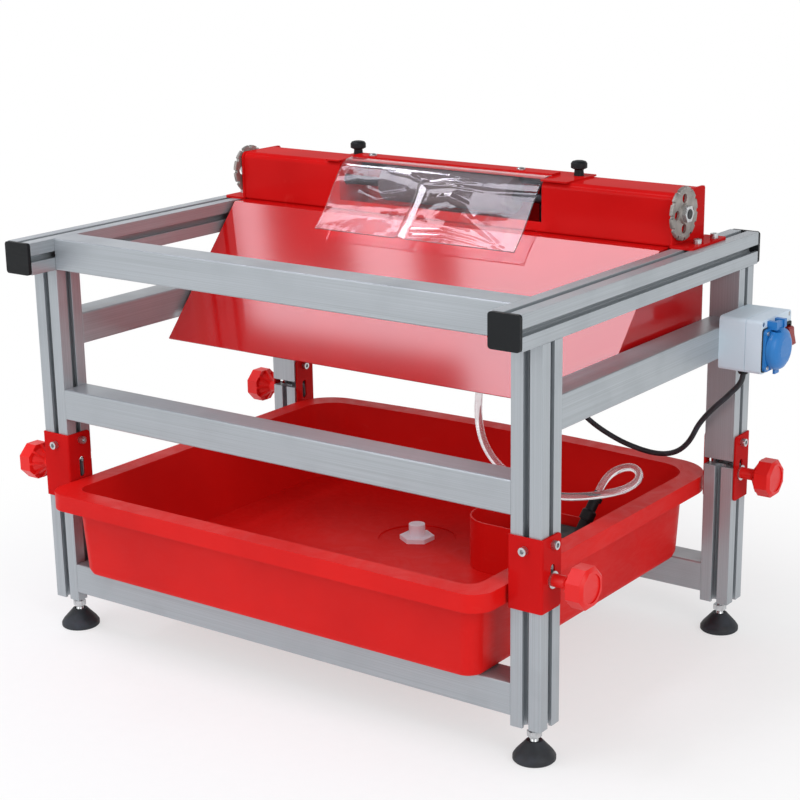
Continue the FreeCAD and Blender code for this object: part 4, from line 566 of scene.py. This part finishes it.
def film_sheet():
    """The folded film, and its length down from the clamp bar in millimetres."""
    section, step = film_section()
    form = bmesh.new()
    grid = []
    for j, spot in enumerate(section):
        outward = Vector((1, 0, 0)).cross(ahead_of(section, j))
        if outward.z < 0:
            outward.negate()
        row = []
        for i in range(FILM_ACROSS + 1):
            across = FILM_LEFT + (FILM_RIGHT - FILM_LEFT) * i / FILM_ACROSS
            lift = film_lift(across, j * step) * MM
            row.append(form.verts.new(spot + Vector((across * MM, 0, 0)) + outward * lift))
        grid.append(row)
    for a, b in zip(grid, grid[1:]):
        for i in range(FILM_ACROSS):
            form.faces.new((a[i], a[i + 1], b[i + 1], b[i]))
    return finished("film", form), step * FILM_DOWN


film, film_length = film_sheet()
thick = film.modifiers.new("thickness", "SOLIDIFY")
thick.thickness = FILM_THICKNESS * MM
thick.offset = 1.0
coat(film, FILM)
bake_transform(film)
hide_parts("splash_flap")

# A thin dark ring round the flange of the socket is painted shadow: it stands in for the shadow line
# at the flange's edge.
SHADOW_RING_MIDDLE = (437.0, 482.5, 404.5)
SHADOW_RING_INNER, SHADOW_RING_OUTER = 26.55, 27.4
SHADOW_RING_CORNER = 4.0
SHADOW_RING_DEPTH = 1.4
ARC_STEPS = 6
QUARTERS = ((1, 1), (-1, 1), (-1, -1), (1, -1))


def rounded_square(half, corner):
    """Points round a square with rounded corners, as (across, up) offsets from its middle."""
    points = []
    for quarter, (right, up) in enumerate(QUARTERS):
        for step in range(ARC_STEPS + 1):
            angle = math.pi / 2 * quarter + math.pi / 2 * step / ARC_STEPS
            points.append(((half - corner) * right + corner * math.cos(angle),
                           (half - corner) * up + corner * math.sin(angle)))
    return points


def painted_shadow_ring():
    """A flat ring with a square section round the flange, as painted shadow."""
    form = bmesh.new()
    loops = []
    x, y, z = SHADOW_RING_MIDDLE
    for half, out in ((SHADOW_RING_INNER, 0.0), (SHADOW_RING_OUTER, 0.0), (SHADOW_RING_OUTER, SHADOW_RING_DEPTH),
                      (SHADOW_RING_INNER, SHADOW_RING_DEPTH)):
        loops.append([form.verts.new(place(x + out, y + a, z + b))
                      for a, b in rounded_square(half, SHADOW_RING_CORNER)])
    for near, far in zip(loops, loops[1:] + loops[:1]):
        for k in range(len(near)):
            n = (k + 1) % len(near)
            form.faces.new((near[k], near[n], far[n], far[k]))
    return finished("socket_painted_shadow_ring", form)


# A dark ring of painted shadow round the socket's flange, coloured with the black rubber.
shadow_ring = painted_shadow_ring()
shadow_ring.data.shade_flat()
coat(shadow_ring, RUBBER)
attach(shadow_ring, "upper_frame")

# Stage: a pale floor that goes over into white, overhead panels, and soft fills.
FLOOR_HALF = 6.0
FLOOR_NEAR, FLOOR_FAR = 0.35, 0.95
FLOOR_PALE = 0.58
WORLD_COLOUR, WORLD_LEVEL = (0.96, 0.98, 1.0, 1.0), 0.54
# The white backdrop ends between these two heights of the view's direction.
BACKDROP_LOW, BACKDROP_HIGH = 0.3, 0.75
CEILING = 0.12
# Overhead panels: a long one, and three behind it with dark gaps between, as the splash plate mirrors
# them. A brighter strip lights the film's bend, and another the flank of its fold. Each has its
# radiance, its middle and its two sides.
PANEL_HEIGHT = 2.2
PANEL_COLOUR = (0.93, 0.9, 1.0)
PANELS = (
    ("panel_long", 4.3, -1.52, -0.78, 0.7, 0.14),
    ("panel_wide", 4.3, -0.76, -0.66, 0.82, 0.72),
    ("panel_middle", 4.3, -1.395, -0.5, 0.19, 0.42),
    ("panel_left", 4.3, -1.83, -0.5, 0.1, 0.42),
    ("strip_bend", 13.5, -1.28, 0.04, 0.28, 0.32),
    ("strip_fold", 13.0, -0.21, -0.92, 0.26, 0.85),
)
# Fills: where each stands and aims, its two sides and its power.
FILL_COLOUR = (1.0, 1.0, 1.0)
FILLS = (
    ("front_fill", (-0.9, -2.6, 1.3), (0.0, 0.0, 0.35), 1.8, 1.4, 15.0),
    ("fill_right", (2.2, -0.9, 1.3), (0.0, 0.0, 0.3), 1.2, 1.2, 18.0),
)


def floor_material():
    """A pale floor that goes over into white with the distance from the object."""
    p = Paint("pale_floor")
    speck = p.cloud(scale=60.0, detail=4.0)
    matte = p.shader(Base_Color=p.tint(speck, srgb(240, 240, 241), srgb(246, 246, 247)),
                     Roughness=0.9, Specular_IOR_Level=0.1)
    white = p.add("Emission", Color=WHITE)
    away = p.add("VectorMath", {"operation": "LENGTH"}, Vector=p.spot).outputs["Value"]
    fade = p.span(away, FLOOR_NEAR, FLOOR_FAR, to_low=FLOOR_PALE, kind="SMOOTHSTEP")
    p.material.cycles.emission_sampling = "NONE"
    return p.done(p.either(p.sums("MULTIPLY", p.seen(), fade), matte, white))


def make_floor():
    form = bmesh.new()
    spots = ((-1, -1), (1, -1), (1, 1), (-1, 1))
    form.faces.new([form.verts.new((x * FLOOR_HALF, y * FLOOR_HALF, 0.0)) for x, y in spots])
    floor = finished("floor", form)
    coat(floor, floor_material())


def make_world():
    """Soft light all round, and a white backdrop under a dark ceiling for what is seen."""
    world = bpy.data.worlds.new("studio")
    world.use_nodes = True
    w = Nodes(world.node_tree)
    soft = w.add("Background", Color=WORLD_COLOUR, Strength=WORLD_LEVEL)
    toward = w.add("SeparateXYZ", Vector=w.add("TexCoord").outputs["Generated"]).outputs["Z"]
    drop = w.span(toward, BACKDROP_LOW, BACKDROP_HIGH, to_low=1.0, to_high=CEILING)
    white = w.add("Background", Color=WHITE, Strength=drop)
    w.add("OutputWorld", Surface=w.either(w.seen(), soft, white).outputs[0])
    world.cycles.sampling_method = "NONE"
    bpy.context.scene.world = world


def softbox(name, spot, aim, width, height, power, colour):
    """An area lamp that the camera doesn't see."""
    data = bpy.data.lights.new(name, "AREA")
    data.shape = "RECTANGLE"
    data.size = width
    data.size_y = height
    data.energy = power
    data.color = colour
    made = added(name, data)
    made.location = spot
    made.rotation_euler = (Vector(aim) - Vector(spot)).to_track_quat("-Z", "Y").to_euler()
    made.visible_camera = False


make_floor()
make_world()
for name, radiance, x, y, width, depth in PANELS:
    power = radiance * math.pi * width * depth
    softbox(name, (x, y, PANEL_HEIGHT), (x, y, 0.0), width, depth, power, PANEL_COLOUR)
for name, spot, aim, width, height, power in FILLS:
    softbox(name, spot, aim, width, height, power, FILL_COLOUR)

# Camera: fitted to the frame's edges in the photograph. The angles are in degrees.
CAMERA_SPOT = (1.37008, -1.85314, 0.95882)
CAMERA_TURN, CAMERA_RISE, CAMERA_ROLL = 34.87, 16.8, -0.45
CAMERA_LENS, CAMERA_SENSOR = 84.01, 36.0
CAMERA_SHIFT = (-0.0599, 0.0509)


def make_camera():
    turn, rise, roll = (math.radians(a) for a in (CAMERA_TURN, CAMERA_RISE, CAMERA_ROLL))
    level = math.cos(rise)
    back = Vector((math.sin(turn) * level, -math.cos(turn) * level, math.sin(rise)))
    right = (-back).cross(Vector((0, 0, 1))).normalized()
    up = back.cross(right)
    tilted_right = right * math.cos(roll) + up * math.sin(roll)
    tilted_up = up * math.cos(roll) - right * math.sin(roll)
    data = bpy.data.cameras.new("photo_camera")
    data.sensor_width = CAMERA_SENSOR
    data.lens = CAMERA_LENS
    data.shift_x, data.shift_y = CAMERA_SHIFT
    made = added("photo_camera", data)
    axes = Matrix((tilted_right, tilted_up, back)).transposed().to_4x4()
    made.matrix_world = Matrix.Translation(Vector(CAMERA_SPOT)) @ axes
    bpy.context.scene.camera = made


make_camera()
bpy.context.scene.view_settings.view_transform = "Standard"
